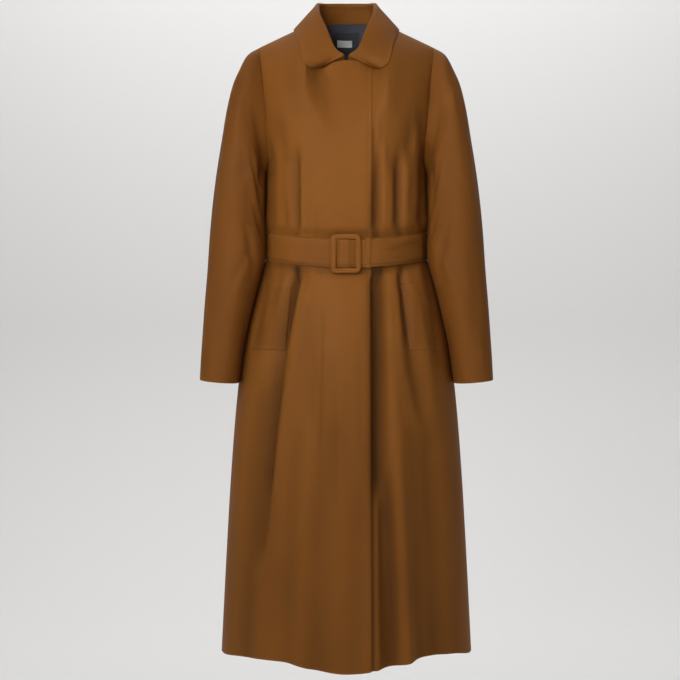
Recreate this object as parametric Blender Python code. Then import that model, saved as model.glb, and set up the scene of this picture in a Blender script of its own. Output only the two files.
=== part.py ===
"""Long belted coat in cotton gabardine, hollow, hanging as it does on a wearer.

Metres, +Z up.  The origin is the middle of the neck base, where the wearer's
shoulders carry the coat.  The front faces -Y and the wearer's left is +X.

The coat hangs on one form: a set of horizontal sections whose widths and
depths stand in SECTIONS.  Every panel is a wall made from the form's points,
so pieces that meet at a seam or lie on each other keep the same small gap.
"""
import math

import bmesh
import bpy
import numpy as np

# ---------------------------------------------------------------- cloth
SEAM_GAP = 0.0003            # between two pieces at a seam or in a stack
SHELL_WALL = 0.0016          # gabardine with its turnings
COLLAR_WALL = 0.0022
LINING_WALL = 0.0010
LABEL_WALL = 0.0010
BELT_WALL = 0.0022

# ---------------------------------------------------------------- form
NECK_HALF_WIDTH = 0.076      # neck seam, at the shoulder
NECK_FRONT = 0.075           # neck seam, forward of the origin
NECK_BACK = 0.068
NECK_POINT = 0.013           # height where the shoulder seam meets the neck seam
NECK_FRONT_DROP = 0.073      # neck seam falls this far to the centre front
NECK_BACK_RISE = 0.011       # and rises this far to the centre back
NECK_SOFTEN = 1.2            # the neck's oval melts into the shoulders by this power
NECK_REACH = 0.050           # within this distance below the neck seam
SHOULDER_POINT = 0.166       # half width at the outer end of the shoulder seam
SHOULDER_SLOPE = 0.466       # fall of the shoulder seam for each metre outwards
UNDERARM = -0.275            # height of the underarm point
ARMHOLE_DEPTH = {"front": 0.066, "back": 0.062}
RIDGE_DROP = 0.160           # below the shoulder seam the form is at full depth
OVERLAP = 0.046              # the right front reaches this far past the centre
UNDERLAP_BLEND = 0.034       # the left front is back on the form this far past the edge

BELT_HEIGHT = -0.407         # middle of the belt at the side seams
BELT_WIDTH = 0.052
BELT_SAG = {"front": -0.014, "back": 0.004}
HEM = -1.184
# The front hem hangs lowest at the centre and rises beside it.
HEM_RISE_NAMES = ("x", "rise")
HEM_RISE = (
    (-0.241, 0.000),
    (-0.200, 0.011),
    (-0.120, 0.018),
    (-0.067, 0.008),
    (0.000, 0.000),
    (0.067, 0.008),
    (0.117, 0.018),
    (0.150, 0.021),
    (0.200, 0.014),
    (0.241, 0.000),
)
HEM_RISE_START = -0.850      # the rise grows from here down

# Sections of the form, from the shoulder down.  "half_width" is the armhole
# seam above the underarm and the side seam below it.
SECTION_NAMES = ("height", "half_width", "front", "back", "power")
SECTIONS = (
    (0.000, 0.166, 0.126, 0.112, 2.30),
    (-0.060, 0.160, 0.134, 0.120, 2.35),
    (-0.130, 0.154, 0.142, 0.127, 2.40),
    (-0.190, 0.150, 0.146, 0.128, 2.40),
    (-0.240, 0.149, 0.146, 0.126, 2.35),
    (-0.275, 0.152, 0.145, 0.123, 2.30),
    (-0.330, 0.155, 0.143, 0.120, 2.25),
    (-0.362, 0.156, 0.138, 0.116, 2.20),
    (-0.376, 0.153, 0.126, 0.108, 2.20),
    (-0.438, 0.153, 0.126, 0.108, 2.20),
    (-0.454, 0.160, 0.134, 0.117, 2.20),
    (-0.520, 0.179, 0.150, 0.135, 2.20),
    (-0.600, 0.197, 0.166, 0.150, 2.20),
    (-0.700, 0.210, 0.180, 0.165, 2.15),
    (-0.850, 0.222, 0.192, 0.179, 2.10),
    (-1.000, 0.231, 0.201, 0.190, 2.00),
    (HEM, 0.241, 0.208, 0.200, 1.85),
)

# Rows of the panels below the underarm: belt edges and pocket ends are rows.
SKIRT_ROWS = (-0.310, -0.340, -0.362, -0.376, -0.407, -0.438, -0.452, -0.472, -0.505,
              -0.550, -0.600, -0.660, -0.730, -0.810, -0.900, -0.990, -1.085, HEM)
ARMHOLE_ROWS = 10            # rows from the shoulder seam to the underarm
OVERLAP_COLUMNS = 3          # from the centre to the overlap edge
NECK_COLUMNS = 7             # from the centre to the neck point
SIDE_COLUMNS = 14            # from the overlap edge to the side seam, front
BACK_SIDE_COLUMNS = 10       # the same on the back

# Largest folds: troughs that run down the cloth through three places, with a
# softer ridge on the side that "ridge" gives (+1 towards +X).  Heights are
# those of the sections, before the belt's sag.
FOLD_HELD = 0.024            # a fold that the belt holds reaches its depth this far from it
FOLD_FADE = 0.070            # a fold's free end dies away over this length
FOLD_FREE = -0.500           # a fold that starts below this isn't held by the belt
FOLD_NAMES = ("panel", "x1", "z1", "x2", "z2", "x3", "z3", "depth", "width", "ridge")
FOLDS = (
    ("front", -0.098, -0.200, -0.097, -0.290, -0.096, -0.376, 0.0070, 0.011, 1),
    ("front", 0.060, -0.240, 0.059, -0.310, 0.057, -0.376, 0.0070, 0.011, 1),
    ("front", 0.096, -0.210, 0.095, -0.300, 0.095, -0.376, 0.0070, 0.011, 1),
    ("front", 0.122, -0.250, 0.121, -0.310, 0.119, -0.376, 0.0035, 0.010, -1),
    ("front", -0.122, -0.250, -0.121, -0.310, -0.119, -0.376, 0.0035, 0.010, -1),
    ("front", -0.090, -0.438, -0.126, -0.620, -0.168, -1.020, 0.0110, 0.015, 1),
    ("front", 0.060, -0.438, 0.064, -0.750, 0.084, -1.300, 0.0150, 0.016, 1),
    ("front", 0.100, -0.438, 0.118, -0.585, 0.150, -0.760, 0.0090, 0.014, 1),
    ("front", -0.030, -0.700, -0.045, -0.950, -0.060, -1.300, 0.0060, 0.026, -1),
    ("front", 0.150, -0.720, 0.163, -0.950, 0.175, -1.300, 0.0080, 0.020, 1),
    ("back", -0.060, -0.220, -0.058, -0.300, -0.056, -0.376, 0.0060, 0.012, 1),
    ("back", 0.072, -0.240, 0.070, -0.310, 0.068, -0.376, 0.0060, 0.012, -1),
    ("back", -0.066, -0.438, -0.086, -0.640, -0.118, -1.300, 0.0120, 0.018, 1),
    ("back", 0.058, -0.438, 0.070, -0.680, 0.096, -1.300, 0.0120, 0.018, -1),
    ("back", 0.118, -0.438, 0.140, -0.600, 0.165, -0.900, 0.0080, 0.015, 1),
)

# ---------------------------------------------------------------- sleeves
# Rings after the armhole: the point nearest the body, the point farthest from
# it, and how far the ring reaches forward and back.
SLEEVE_NAMES = ("inner_z", "outer_x", "outer_z", "front", "back", "clear", "forward")
SLEEVE_RINGS = (
    (-0.2785, 0.188, -0.0440, 0.069, 0.065, 0.0004, 0.003),
    (-0.2840, 0.204, -0.0740, 0.072, 0.067, 0.0001, 0.010),
    (-0.2920, 0.216, -0.1040, 0.074, 0.068, 0.0001, 0.018),
    (-0.3030, 0.227, -0.1500, 0.075, 0.069, 0.0001, 0.024),
    (-0.3200, 0.236, -0.2050, 0.075, 0.069, 0.0001, 0.028),
    (-0.3480, 0.245, -0.2640, 0.074, 0.068, 0.0006, 0.031),
    (-0.3860, 0.253, -0.3280, 0.073, 0.067, 0.0035, 0.032),
    (-0.4300, 0.259, -0.3920, 0.071, 0.065, 0.0043, 0.034),
    (-0.4800, 0.263, -0.4540, 0.068, 0.062, 0.0030, 0.041),
    (-0.5350, 0.268, -0.5160, 0.065, 0.060, 0.0030, 0.046),
    (-0.5850, 0.272, -0.5740, 0.061, 0.057, 0.0034, 0.050),
    (-0.6280, 0.275, -0.6190, 0.058, 0.054, 0.0036, 0.053),
    (-0.6640, 0.277, -0.6580, 0.056, 0.052, 0.0038, 0.055),
)
SLEEVE_FOLD_NAMES = ("turn", "ring", "length", "depth", "width")
SLEEVE_FOLDS = (
    (0.30, 6.0, 2.6, 0.0045, 0.055),
    (0.62, 7.5, 2.4, 0.0050, 0.060),
    (0.18, 9.5, 2.0, 0.0035, 0.055),
    (0.80, 5.0, 2.2, 0.0040, 0.060),
)

# ---------------------------------------------------------------- collar
# Crest of the collar, by the turn round the neck from the centre front.
CREST_NAMES = ("turn", "x", "y", "z")
CREST = (
    (0, 0.0000, -0.0800, -0.0520),
    (20, 0.0185, -0.0730, -0.0400),
    (45, 0.0370, -0.0480, 0.0020),
    (70, 0.0495, -0.0180, 0.0330),
    (90, 0.0510, 0.0060, 0.0480),
    (110, 0.0490, 0.0260, 0.0560),
    (135, 0.0390, 0.0460, 0.0590),
    (180, 0.0000, 0.0600, 0.0610),
)
# Outer edge of the fall: where it lies on the shoulder or the panels, and how
# far it stands off them.  No height means on the shoulder seam.
FALL_EDGE_NAMES = ("turn", "x", "z", "lift", "panel")
FALL_EDGE = (
    (7, 0.0520, -0.0760, 0.0013, "front"),
    (14, 0.0650, -0.0775, 0.0013, "front"),
    (22, 0.0750, -0.0710, 0.0013, "front"),
    (32, 0.0810, -0.0570, 0.0013, "front"),
    (48, 0.0855, -0.0360, 0.0013, "front"),
    (66, 0.0925, -0.0150, 0.0013, "front"),
    (90, 0.0985, None, 0.0013, "ridge"),
    (102, 0.0955, -0.0045, 0.0013, "back"),
    (114, 0.0875, -0.0150, 0.0015, "back"),
    (126, 0.0755, -0.0180, 0.0028, "back"),
    (138, 0.0610, -0.0150, 0.0055, "back"),
    (152, 0.0410, -0.0080, 0.0032, "back"),
    (166, 0.0205, -0.0015, 0.0015, "back"),
    (180, 0.0000, 0.0010, 0.0013, "back"),
)
# Columns of the collar, as turns; most lie on the panels' own neck columns.
COLLAR_TURNS = (4.2, 8.3, 12.4, 18.6, 24.8, 31.0, 37.2, 43.7, 50.4, 57.0, 63.6, 70.2, 76.8,
                83.4, 90.0, 96.6, 103.2, 109.8, 116.4, 123.0, 129.6, 136.2, 142.8, 155.2, 167.6)
CREST_RADIUS = 0.0036
STAND_TOP = 0.008            # the stand ends this far under the crest
FALL_ROLL = 0.0012           # outward curve of the fall between crest and edge

# ---------------------------------------------------------------- belt and buckle
BELT_REST = 0.0006           # the strap's clearance from the cloth
LOOP_WALL = 0.0010           # one layer of the strap, round the buckle's bar
KEEPER_WALL = 0.0010
KEEPER_WIDTH = 0.009
KEEPER_X = 0.0390            # middle of the keeper
TAIL_END_TURN = 66           # the free end stops under the sleeve's edge
BUCKLE_X = -0.0010           # middle of the buckle
BUCKLE_WIDTH = 0.0555
BUCKLE_HEIGHT = 0.0725
BUCKLE_BAR = 0.0093          # width of the frame's bars
BUCKLE_THICK = 0.004
BUCKLE_CORNER = 0.010
CENTRE_BAR_X = -0.0030
CENTRE_BAR_WIDTH = 0.0055
CENTRE_BAR_THICK = 0.0018

# ---------------------------------------------------------------- pockets, lining
POCKET_ROWS = (-0.472, -0.600)
POCKET_COLUMNS = (8, 12)
LINING_ROWS = 6
LABEL_HALF_WIDTH = 0.026
LABEL_TOP = 0.008
LABEL_BOTTOM = -0.031
TAPE_REST = 0.0012           # the label's clearance from the lining, tab on top of it
TAB_LEFT = -0.020
TAB_RIGHT = 0.012
TAB_TOP = -0.005
TAB_BOTTOM = -0.017

# ---------------------------------------------------------------- colours
CAMEL = (0.205, 0.087, 0.024)
CAMEL_DARK = (0.165, 0.068, 0.018)
LINING_COLOUR = (0.020, 0.022, 0.030)
LABEL_COLOUR = (0.030, 0.031, 0.036)
TAB_COLOUR = (0.190, 0.190, 0.195)


def named(table, names, name):
    """One column of a table as an array."""
    place = names.index(name)
    return np.array([row[place] for row in table], dtype=float)


def curve_through(xs, ys, at):
    """Smooth curve through points that never swings past them."""
    xs = np.asarray(xs, dtype=float)
    ys = np.asarray(ys, dtype=float)
    if xs[0] > xs[-1]:
        xs, ys = xs[::-1], ys[::-1]
    step = np.diff(xs)
    slope = np.diff(ys) / step
    tangent = np.zeros(len(xs))
    tangent[0] = slope[0]
    tangent[-1] = slope[-1]
    same = slope[:-1] * slope[1:] > 0
    safe = np.where(same, slope[:-1] + slope[1:], 1.0)
    tangent[1:-1] = np.where(same, 2 * slope[:-1] * slope[1:] / safe, 0.0)
    at = np.clip(np.asarray(at, dtype=float), xs[0], xs[-1])
    cell = np.clip(np.searchsorted(xs, at, side="right") - 1, 0, len(step) - 1)
    part = (at - xs[cell]) / step[cell]
    rise = ys[cell] * (1 + 2 * part) * (1 - part) ** 2
    rise += ys[cell + 1] * part ** 2 * (3 - 2 * part)
    rise += tangent[cell] * step[cell] * part * (1 - part) ** 2
    rise += tangent[cell + 1] * step[cell] * part ** 2 * (part - 1)
    return rise


def ease(value):
    """0 to 1, level at both ends."""
    value = np.clip(value, 0.0, 1.0)
    return value * value * (3 - 2 * value)


def section(height, name):
    return curve_through(named(SECTIONS, SECTION_NAMES, "height"),
                         named(SECTIONS, SECTION_NAMES, name), height)


# ---------------------------------------------------------------- the form
def neck_arch(x):
    """1 at the centre, 0 at the neck point and beyond."""
    return np.clip(1 - (np.abs(x) / NECK_HALF_WIDTH) ** 2, 0.0, 1.0)


def top_height(x, panel):
    """Height of the neck seam and, outside it, of the shoulder seam."""
    outside = np.clip(np.abs(x) - NECK_HALF_WIDTH, 0.0, None)
    swing = -NECK_FRONT_DROP if panel == "front" else NECK_BACK_RISE
    curve = 1.1 if panel == "front" else 0.75
    return NECK_POINT + swing * neck_arch(x) ** curve - SHOULDER_SLOPE * outside


def full_half_width(share, height, panel):
    """Half width of the whole section, of which the armhole cuts a part off.

    "share" is 0 at the shoulder seam and 1 at the underarm and below it."""
    depth = section(height, panel)
    power = section(height, "power")
    lower = np.clip(2 * share - 1, 0.0, 1.0)
    cut = ARMHOLE_DEPTH[panel] * np.sqrt(np.clip(1 - lower ** 2, 0.0, 1.0))
    return section(height, "half_width") / (1 - (cut / depth) ** power) ** (1 / power)


def form_depth(x, share, height, panel):
    """Depth of the form at x, before folds, as a positive number."""
    depth = section(height, panel)
    power = section(height, "power")
    width = full_half_width(share, height, panel)
    inside = np.clip(1 - (np.abs(x) / width) ** power, 0.0, 1.0)
    out = depth * inside ** (1 / power)
    drop = (top_height(x, panel) - UNDERARM) * share
    curve = 0.5 + NECK_SOFTEN * ease(drop / NECK_REACH)
    neck = (NECK_FRONT if panel == "front" else NECK_BACK) * neck_arch(x) ** curve
    fill = 1 - (1 - np.clip(drop / RIDGE_DROP, 0.0, 1.0)) ** 1.7
    squareness = 1 + 0.8 * ease((np.abs(x) - 0.050) / 0.045)
    fill = np.where(share >= 1, 1.0, fill ** (1 / squareness))
    return neck + (out - neck) * fill


def belt_sag(x, height, panel):
    """The belt, and the cloth held by it, dips at the front."""
    away = (np.abs(height - BELT_HEIGHT) - 0.6 * BELT_WIDTH) / 0.110
    middle = np.clip(1 - (x / section(height, "half_width")) ** 2, 0.0, 1.0)
    return BELT_SAG[panel] * middle * (1 - ease(away))


def hem_rise(x, height, panel):
    """The front is lifted towards the hem, beside its centre."""
    rise = curve_through(named(HEM_RISE, HEM_RISE_NAMES, "x"),
                         named(HEM_RISE, HEM_RISE_NAMES, "rise"), x)
    part = float(ease((HEM_RISE_START - height) / (HEM_RISE_START - HEM)))
    return rise * part * (panel == "front")


def column_count(panel):
    side = SIDE_COLUMNS if panel == "front" else BACK_SIDE_COLUMNS
    return OVERLAP_COLUMNS + side


def row_heights():
    """Heights of all rows; those above the underarm crowd at both ends."""
    turn = np.pi * np.arange(ARMHOLE_ROWS + 1) / ARMHOLE_ROWS
    share = (1 - np.cos(turn)) / 2
    heights = np.concatenate([share * UNDERARM, SKIRT_ROWS])
    shares = np.concatenate([share, np.ones(len(SKIRT_ROWS))])
    return heights, shares


def half_columns(height, share, panel):
    """x of each column on one row, from the centre to the armhole or side seam."""
    side = column_count(panel) - OVERLAP_COLUMNS
    depth = section(height, panel)
    power = section(height, "power")
    width = full_half_width(share, height, panel)
    edge = section(height, "half_width")

    def turn_at(x):
        inside = np.clip(1 - (x / width) ** power, 0.0, 1.0)
        return math.atan2(x, depth * inside ** (1 / power))

    turns = np.linspace(turn_at(OVERLAP), turn_at(edge), side + 1)
    reach = (np.sin(turns) / width) ** power + (np.clip(np.cos(turns), 0, 1) / depth) ** power
    low = (np.sin(turns) / reach ** (1 / power) - OVERLAP) / (edge - OVERLAP)
    neck = NECK_COLUMNS - OVERLAP_COLUMNS
    round_neck = np.linspace(math.asin(OVERLAP / NECK_HALF_WIDTH), math.pi / 2, neck + 1)
    top = np.concatenate([
        NECK_HALF_WIDTH * np.sin(round_neck[:-1]),
        np.linspace(NECK_HALF_WIDTH, SHOULDER_POINT, side - neck + 1)])
    high = (top - OVERLAP) / (SHOULDER_POINT - OVERLAP)
    part = high + (low - high) * ease(share / 0.7)
    inner = np.linspace(0.0, OVERLAP, OVERLAP_COLUMNS + 1)[:-1]
    return np.concatenate([inner, OVERLAP + (edge - OVERLAP) * part])


def fold_offset(x, height, panel):
    """How far the largest folds move the cloth along its normal."""
    offset = np.zeros_like(x)
    for row in FOLDS:
        fold = dict(zip(FOLD_NAMES, row))
        if fold["panel"] != panel:
            continue
        heights = (fold["z1"], fold["z2"], fold["z3"])
        line = curve_through(heights, (fold["x1"], fold["x2"], fold["x3"]), height)
        held_above = fold["z1"] < BELT_HEIGHT and fold["z1"] > FOLD_FREE
        held_below = fold["z3"] > BELT_HEIGHT
        start = ease((fold["z1"] - height) / (FOLD_HELD if held_above else FOLD_FADE))
        end = ease((height - fold["z3"]) / (FOLD_HELD if held_below else FOLD_FADE))
        away = (x - line) / fold["width"]
        shape = 0.45 * np.exp(-(away - 1.9 * fold["ridge"]) ** 2) - np.exp(-away ** 2)
        offset += fold["depth"] * shape * start * end
    return offset


def unit(vectors):
    length = np.linalg.norm(vectors, axis=-1, keepdims=True)
    return vectors / np.maximum(length, 1e-12)


def headings(points, axis):
    """Mean direction of the two steps that meet at each point along an axis."""
    steps = unit(np.diff(points, axis=axis))
    first = np.take(steps, [0], axis=axis)
    last = np.take(steps, [-1], axis=axis)
    before = np.concatenate([first, steps], axis=axis)
    after = np.concatenate([steps, last], axis=axis)
    return unit(before + after)


def grid_normals(points, panel):
    """Normals of a grid of rows and columns, pointing out of the coat."""
    normals = unit(np.cross(headings(points, 0), headings(points, 1)))
    return -normals if panel == "back" else normals


def panel_form(panel):
    """The whole front or back of the form: points and normals, -X to +X."""
    heights, shares = row_heights()
    count = column_count(panel)
    sign = -1 if panel == "front" else 1
    points = np.zeros((len(heights), 2 * count + 1, 3))
    for row, (height, share) in enumerate(zip(heights, shares)):
        half = half_columns(height, share, panel)
        x = np.concatenate([-half[:0:-1], half])
        y = sign * form_depth(x, share, height, panel)
        z = top_height(x, panel) * (1 - share) + UNDERARM * share
        if share >= 1:
            z = height + belt_sag(x, height, panel) + hem_rise(x, height, panel)
            y[0] = y[-1] = 0.0
        points[row] = np.stack([x, y, z * np.ones_like(x)], axis=1)
    bare = close_edges(grid_normals(points, panel), points)
    nominal = np.repeat(heights[:, None], points.shape[1], axis=1)
    points = points + bare * fold_offset(points[..., 0], nominal, panel)[..., None]
    return points, close_edges(grid_normals(points, panel), points)


def close_edges(normals, points):
    """At side and shoulder seams the front and the back share one normal."""
    normals = normals.copy()
    shoulder = np.abs(points[0, :, 0]) >= NECK_HALF_WIDTH - 1e-6
    normals[0, shoulder, 1] = 0.0
    below = slice(ARMHOLE_ROWS, None)
    normals[below, 0, 1] = 0.0
    normals[below, -1, 1] = 0.0
    return unit(normals)


# ---------------------------------------------------------------- meshes
def make_object(name, vertices, faces, colour, roughness):
    mesh = bpy.data.meshes.new(name)
    mesh.from_pydata([tuple(v) for v in vertices], [], faces)
    mesh.validate()
    box = bmesh.new()
    box.from_mesh(mesh)
    bmesh.ops.recalc_face_normals(box, faces=box.faces)
    box.to_mesh(mesh)
    box.free()
    mesh.shade_smooth()
    mesh.set_sharp_from_angle(angle=math.radians(40))
    made = bpy.data.objects.new(name, mesh)
    coat.objects.link(made)
    paint = bpy.data.materials.new(name)
    paint.use_nodes = True
    shader = paint.node_tree.nodes["Principled BSDF"]
    shader.inputs["Base Color"].default_value = (*colour, 1.0)
    shader.inputs["Roughness"].default_value = roughness
    shader.inputs["Metallic"].default_value = 0.0
    mesh.materials.append(paint)
    return made


def wall(name, outer, inner, colour=CAMEL, roughness=0.85, wrap=False):
    """Closed wall between two grids of rows and columns; "wrap" makes a tube."""
    rows, columns = outer.shape[:2]
    across = columns if wrap else columns - 1
    shift = rows * columns

    def place(row, column, skin):
        return skin * shift + row * columns + column % columns

    faces = []
    for row in range(rows - 1):
        for column in range(across):
            for skin in (0, 1):
                a = place(row, column, skin)
                b = place(row, column + 1, skin)
                c = place(row + 1, column + 1, skin)
                d = place(row + 1, column, skin)
                faces += [(a, b, c), (a, c, d)] if skin == 0 else [(a, c, b), (a, d, c)]
    for row, turned in ((0, True), (rows - 1, False)):
        for column in range(across):
            rim = [place(row, column, 0), place(row, column + 1, 0),
                   place(row, column + 1, 1), place(row, column, 1)]
            faces.append(tuple(rim[::-1] if turned else rim))
    if not wrap:
        for column, turned in ((0, False), (columns - 1, True)):
            for row in range(rows - 1):
                rim = [place(row, column, 0), place(row + 1, column, 0),
                       place(row + 1, column, 1), place(row, column, 1)]
                faces.append(tuple(rim[::-1] if turned else rim))
    vertices = np.concatenate([outer.reshape(-1, 3), inner.reshape(-1, 3)])
    return make_object(name, vertices, faces, colour, roughness)


def sweep(name, centres, across, up, profile, colour, roughness, closed):
    """Profile of (across, up) pairs carried along a path; open ends are capped."""
    stations, count = len(centres), len(profile)
    vertices = []
    for centre, side, rise, shape in zip(centres, across, up, profile_at(profile, stations)):
        vertices += [centre + side * u + rise * v for u, v in shape]
    count = len(vertices) // stations
    faces = []
    for station in range(stations if closed else stations - 1):
        here = station * count
        there = (station + 1) % stations * count
        for corner in range(count):
            after = (corner + 1) % count
            faces.append((here + corner, here + after, there + after, there + corner))
    if not closed:
        faces.append(tuple(range(count)))
        faces.append(tuple(range((stations - 1) * count, stations * count))[::-1])
    return make_object(name, vertices, faces, colour, roughness)


def profile_at(profile, stations):
    """One profile for each station, or the same one for all."""
    if np.ndim(profile) == 3:
        return profile
    return [profile] * stations


# ---------------------------------------------------------------- panels
def shift_edges(points, side_sign, panel, centre_seam=False):
    """Draw the side, shoulder and centre-back edges half a seam gap in."""
    moved = points.copy()
    half = SEAM_GAP / 2
    back = 1 if panel == "back" else -1
    shoulder = np.abs(points[0, :, 0]) >= NECK_HALF_WIDTH - 1e-6
    moved[0, shoulder, 1] += back * half
    edge = -1 if side_sign > 0 else 0
    moved[ARMHOLE_ROWS:, edge, 1] += back * half
    if centre_seam:
        moved[:, 0 if side_sign > 0 else -1, 0] += side_sign * half
    return moved


def make_front_right(points, normals):
    """Upper layer: from the side seam at -X to the overlap edge."""
    last = points.shape[1] // 2 + OVERLAP_COLUMNS
    outer = shift_edges(points[:, :last + 1], -1, "front")
    spread = normals[:, :last + 1]
    centre = points.shape[1] // 2
    inner = outer - SHELL_WALL * spread
    for skin in (outer, inner):
        skin[0, centre + 1:] += 0.8 * (skin[1, centre + 1:] - skin[0, centre + 1:])
    wall("front_right", outer, inner)


def under_layer(points, normals):
    """The left front's outer points: sunk under the right front, then back on the form."""
    past = (points[..., 0] - OVERLAP) / UNDERLAP_BLEND
    inset = (SHELL_WALL + SEAM_GAP) * (1 - ease(past))
    return points - inset[..., None] * normals


def make_front_left(points, normals):
    first = points.shape[1] // 2 - OVERLAP_COLUMNS
    outer = shift_edges(under_layer(points, normals)[:, first:], 1, "front")
    wall("front_left", outer, outer - SHELL_WALL * normals[:, first:])


def make_backs(points, normals):
    centre = points.shape[1] // 2
    for name, side_sign in (("back_right", -1), ("back_left", 1)):
        part = slice(None, centre + 1) if side_sign < 0 else slice(centre, None)
        spread = normals[:, part].copy()
        spread[:, -1 if side_sign < 0 else 0, 0] = 0.0
        spread = unit(spread)
        outer = shift_edges(points[:, part], side_sign, "back", centre_seam=True)
        wall(name, outer, outer - SHELL_WALL * spread)


def make_pocket_welts(points, normals):
    """Welts lie on the fronts, between two rows and two columns of them."""
    heights, _ = row_heights()
    top, bottom = (int(np.argmin(np.abs(heights - h))) for h in POCKET_ROWS)
    rows = slice(top, bottom + 1)
    centre = points.shape[1] // 2
    first, last = POCKET_COLUMNS
    spans = {"pocket_welt_right": slice(centre - last, centre - first + 1),
             "pocket_welt_left": slice(centre + first, centre + last + 1)}
    for name, columns in spans.items():
        base = points[rows, columns] + SEAM_GAP * normals[rows, columns]
        wall(name, base + SHELL_WALL * normals[rows, columns], base)


def make_neck_lining(points, normals):
    """Lining inside the back neck, and the two plain tapes on it."""
    centre = points.shape[1] // 2
    columns = slice(centre - NECK_COLUMNS, centre + NECK_COLUMNS + 1)
    rows = slice(0, LINING_ROWS + 1)
    spread = normals[rows, columns]
    outer = points[rows, columns] - (SHELL_WALL + SEAM_GAP) * spread
    wall("neck_lining", outer, outer - LINING_WALL * spread, LINING_COLOUR, 0.45)
    behind = SHELL_WALL + LINING_WALL + TAPE_REST
    make_tape("neck_label", -LABEL_HALF_WIDTH, LABEL_HALF_WIDTH, LABEL_TOP, LABEL_BOTTOM,
              behind + SEAM_GAP, LABEL_COLOUR)
    make_tape("size_tab", TAB_LEFT, TAB_RIGHT, TAB_TOP, TAB_BOTTOM,
              behind + LABEL_WALL + 3 * SEAM_GAP, TAB_COLOUR)


def make_tape(name, left, right, top, bottom, behind, colour):
    """A flat tape inside the back neck, "behind" the outer face of the back."""
    x, z = np.meshgrid(np.linspace(left, right, 5), np.linspace(top, bottom, 4))
    points = back_surface(x, z)
    normals = grid_normals(points, "back")
    outer = points - behind * normals
    wall(name, outer, outer - LABEL_WALL * normals, colour, 0.6)


def surface_at(x, z, panel):
    """Points of the form above the underarm, at given x and z."""
    top = top_height(x, panel)
    share = np.clip((top - z) / (top - UNDERARM), 0.0, 1.0)
    sign = -1 if panel == "front" else 1
    y = sign * form_depth(x, share, share * UNDERARM, panel)
    return np.stack([x, y, z], axis=-1)


def back_surface(x, z):
    return surface_at(x, z, "back")


# ---------------------------------------------------------------- sleeves
def armhole_ring(front, back):
    """Points and normals of the armhole at +X: front edge down, back edge up."""
    rows = slice(0, ARMHOLE_ROWS + 1)
    points = np.concatenate([front[0][rows, -1], back[0][rows, -1][-2:0:-1]])
    normals = np.concatenate([front[1][rows, -1], back[1][rows, -1][-2:0:-1]])
    return points, unit(normals)


def sleeve_ring(row, turns):
    """One oval ring, tilted between its inner and its outer point."""
    ring = dict(zip(SLEEVE_NAMES, row))
    height, lean = ring["inner_z"], ring["forward"]
    power = float(section(height, "power"))
    beside = (1 - (lean / float(section(height, "front"))) ** power) ** (1 / power)
    inner_x = float(section(height, "half_width")) * beside + ring["clear"]
    inner = np.array([inner_x, -lean, height])
    outer = np.array([ring["outer_x"], -lean, ring["outer_z"]])
    middle, reach = (inner + outer) / 2, (outer - inner) / 2
    depth = np.where(np.sin(turns) > 0, ring["front"], ring["back"])
    square = 2 / 2.25
    along = np.sign(np.cos(turns)) * np.abs(np.cos(turns)) ** square
    across = np.sign(np.sin(turns)) * np.abs(np.sin(turns)) ** square
    points = middle + along[:, None] * reach
    points[:, 1] -= depth * across
    return points


def sleeve_fold_offset(rings, turns):
    offset = np.zeros((rings, len(turns)))
    ring = np.arange(rings)[:, None]
    for row in SLEEVE_FOLDS:
        fold = dict(zip(SLEEVE_FOLD_NAMES, row))
        slant = fold["turn"] + 0.02 * (ring - fold["ring"])
        away = (turns[None, :] / (2 * np.pi) - slant + 0.5) % 1.0 - 0.5
        along = (ring - fold["ring"]) / fold["length"]
        offset -= fold["depth"] * np.exp(-(away / fold["width"]) ** 2 - along ** 2)
    return offset


def make_sleeves(front, back):
    """Both sleeves: the left one is worked out, the right one mirrors it."""
    seam, seam_normals = armhole_ring(front, back)
    turns = np.pi * np.arange(2 * ARMHOLE_ROWS) / ARMHOLE_ROWS
    seam = seam + np.array([0.0005, 0.0, 0.0])
    rings = [seam] + [sleeve_ring(row, turns) for row in SLEEVE_RINGS]
    points = np.stack(rings)
    offset = sleeve_fold_offset(len(rings), turns)
    points = points + tube_normals(points) * offset[..., None]
    normals = tube_normals(points)
    upper = 0.5 + 0.5 * np.cos(turns)
    normals[0] = unit(normals[0] * (1 - upper)[:, None] + seam_normals * upper[:, None])
    inner = points - SHELL_WALL * normals
    wall("sleeve_left", points, inner, wrap=True)
    flip = np.array([-1.0, 1.0, 1.0])
    wall("sleeve_right", points[:, ::-1] * flip, inner[:, ::-1] * flip, wrap=True)


def tube_normals(points):
    """Outward normals of a grid whose columns close on themselves."""
    around = np.concatenate([points[:, -1:], points, points[:, :1]], axis=1)
    along = headings(around, 1)[:, 1:-1]
    normals = unit(np.cross(along, headings(points, 0)))
    middle = points.mean(axis=1, keepdims=True)
    if np.sum(normals * (points - middle)) < 0:
        normals = -normals
    return normals


# ---------------------------------------------------------------- collar
def crest_point(turn):
    side = np.sign(turn) if turn else 1.0
    turns = named(CREST, CREST_NAMES, "turn")
    x, y, z = (float(curve_through(turns, named(CREST, CREST_NAMES, axis), abs(turn)))
               for axis in ("x", "y", "z"))
    return np.array([side * x, y, z])


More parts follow.
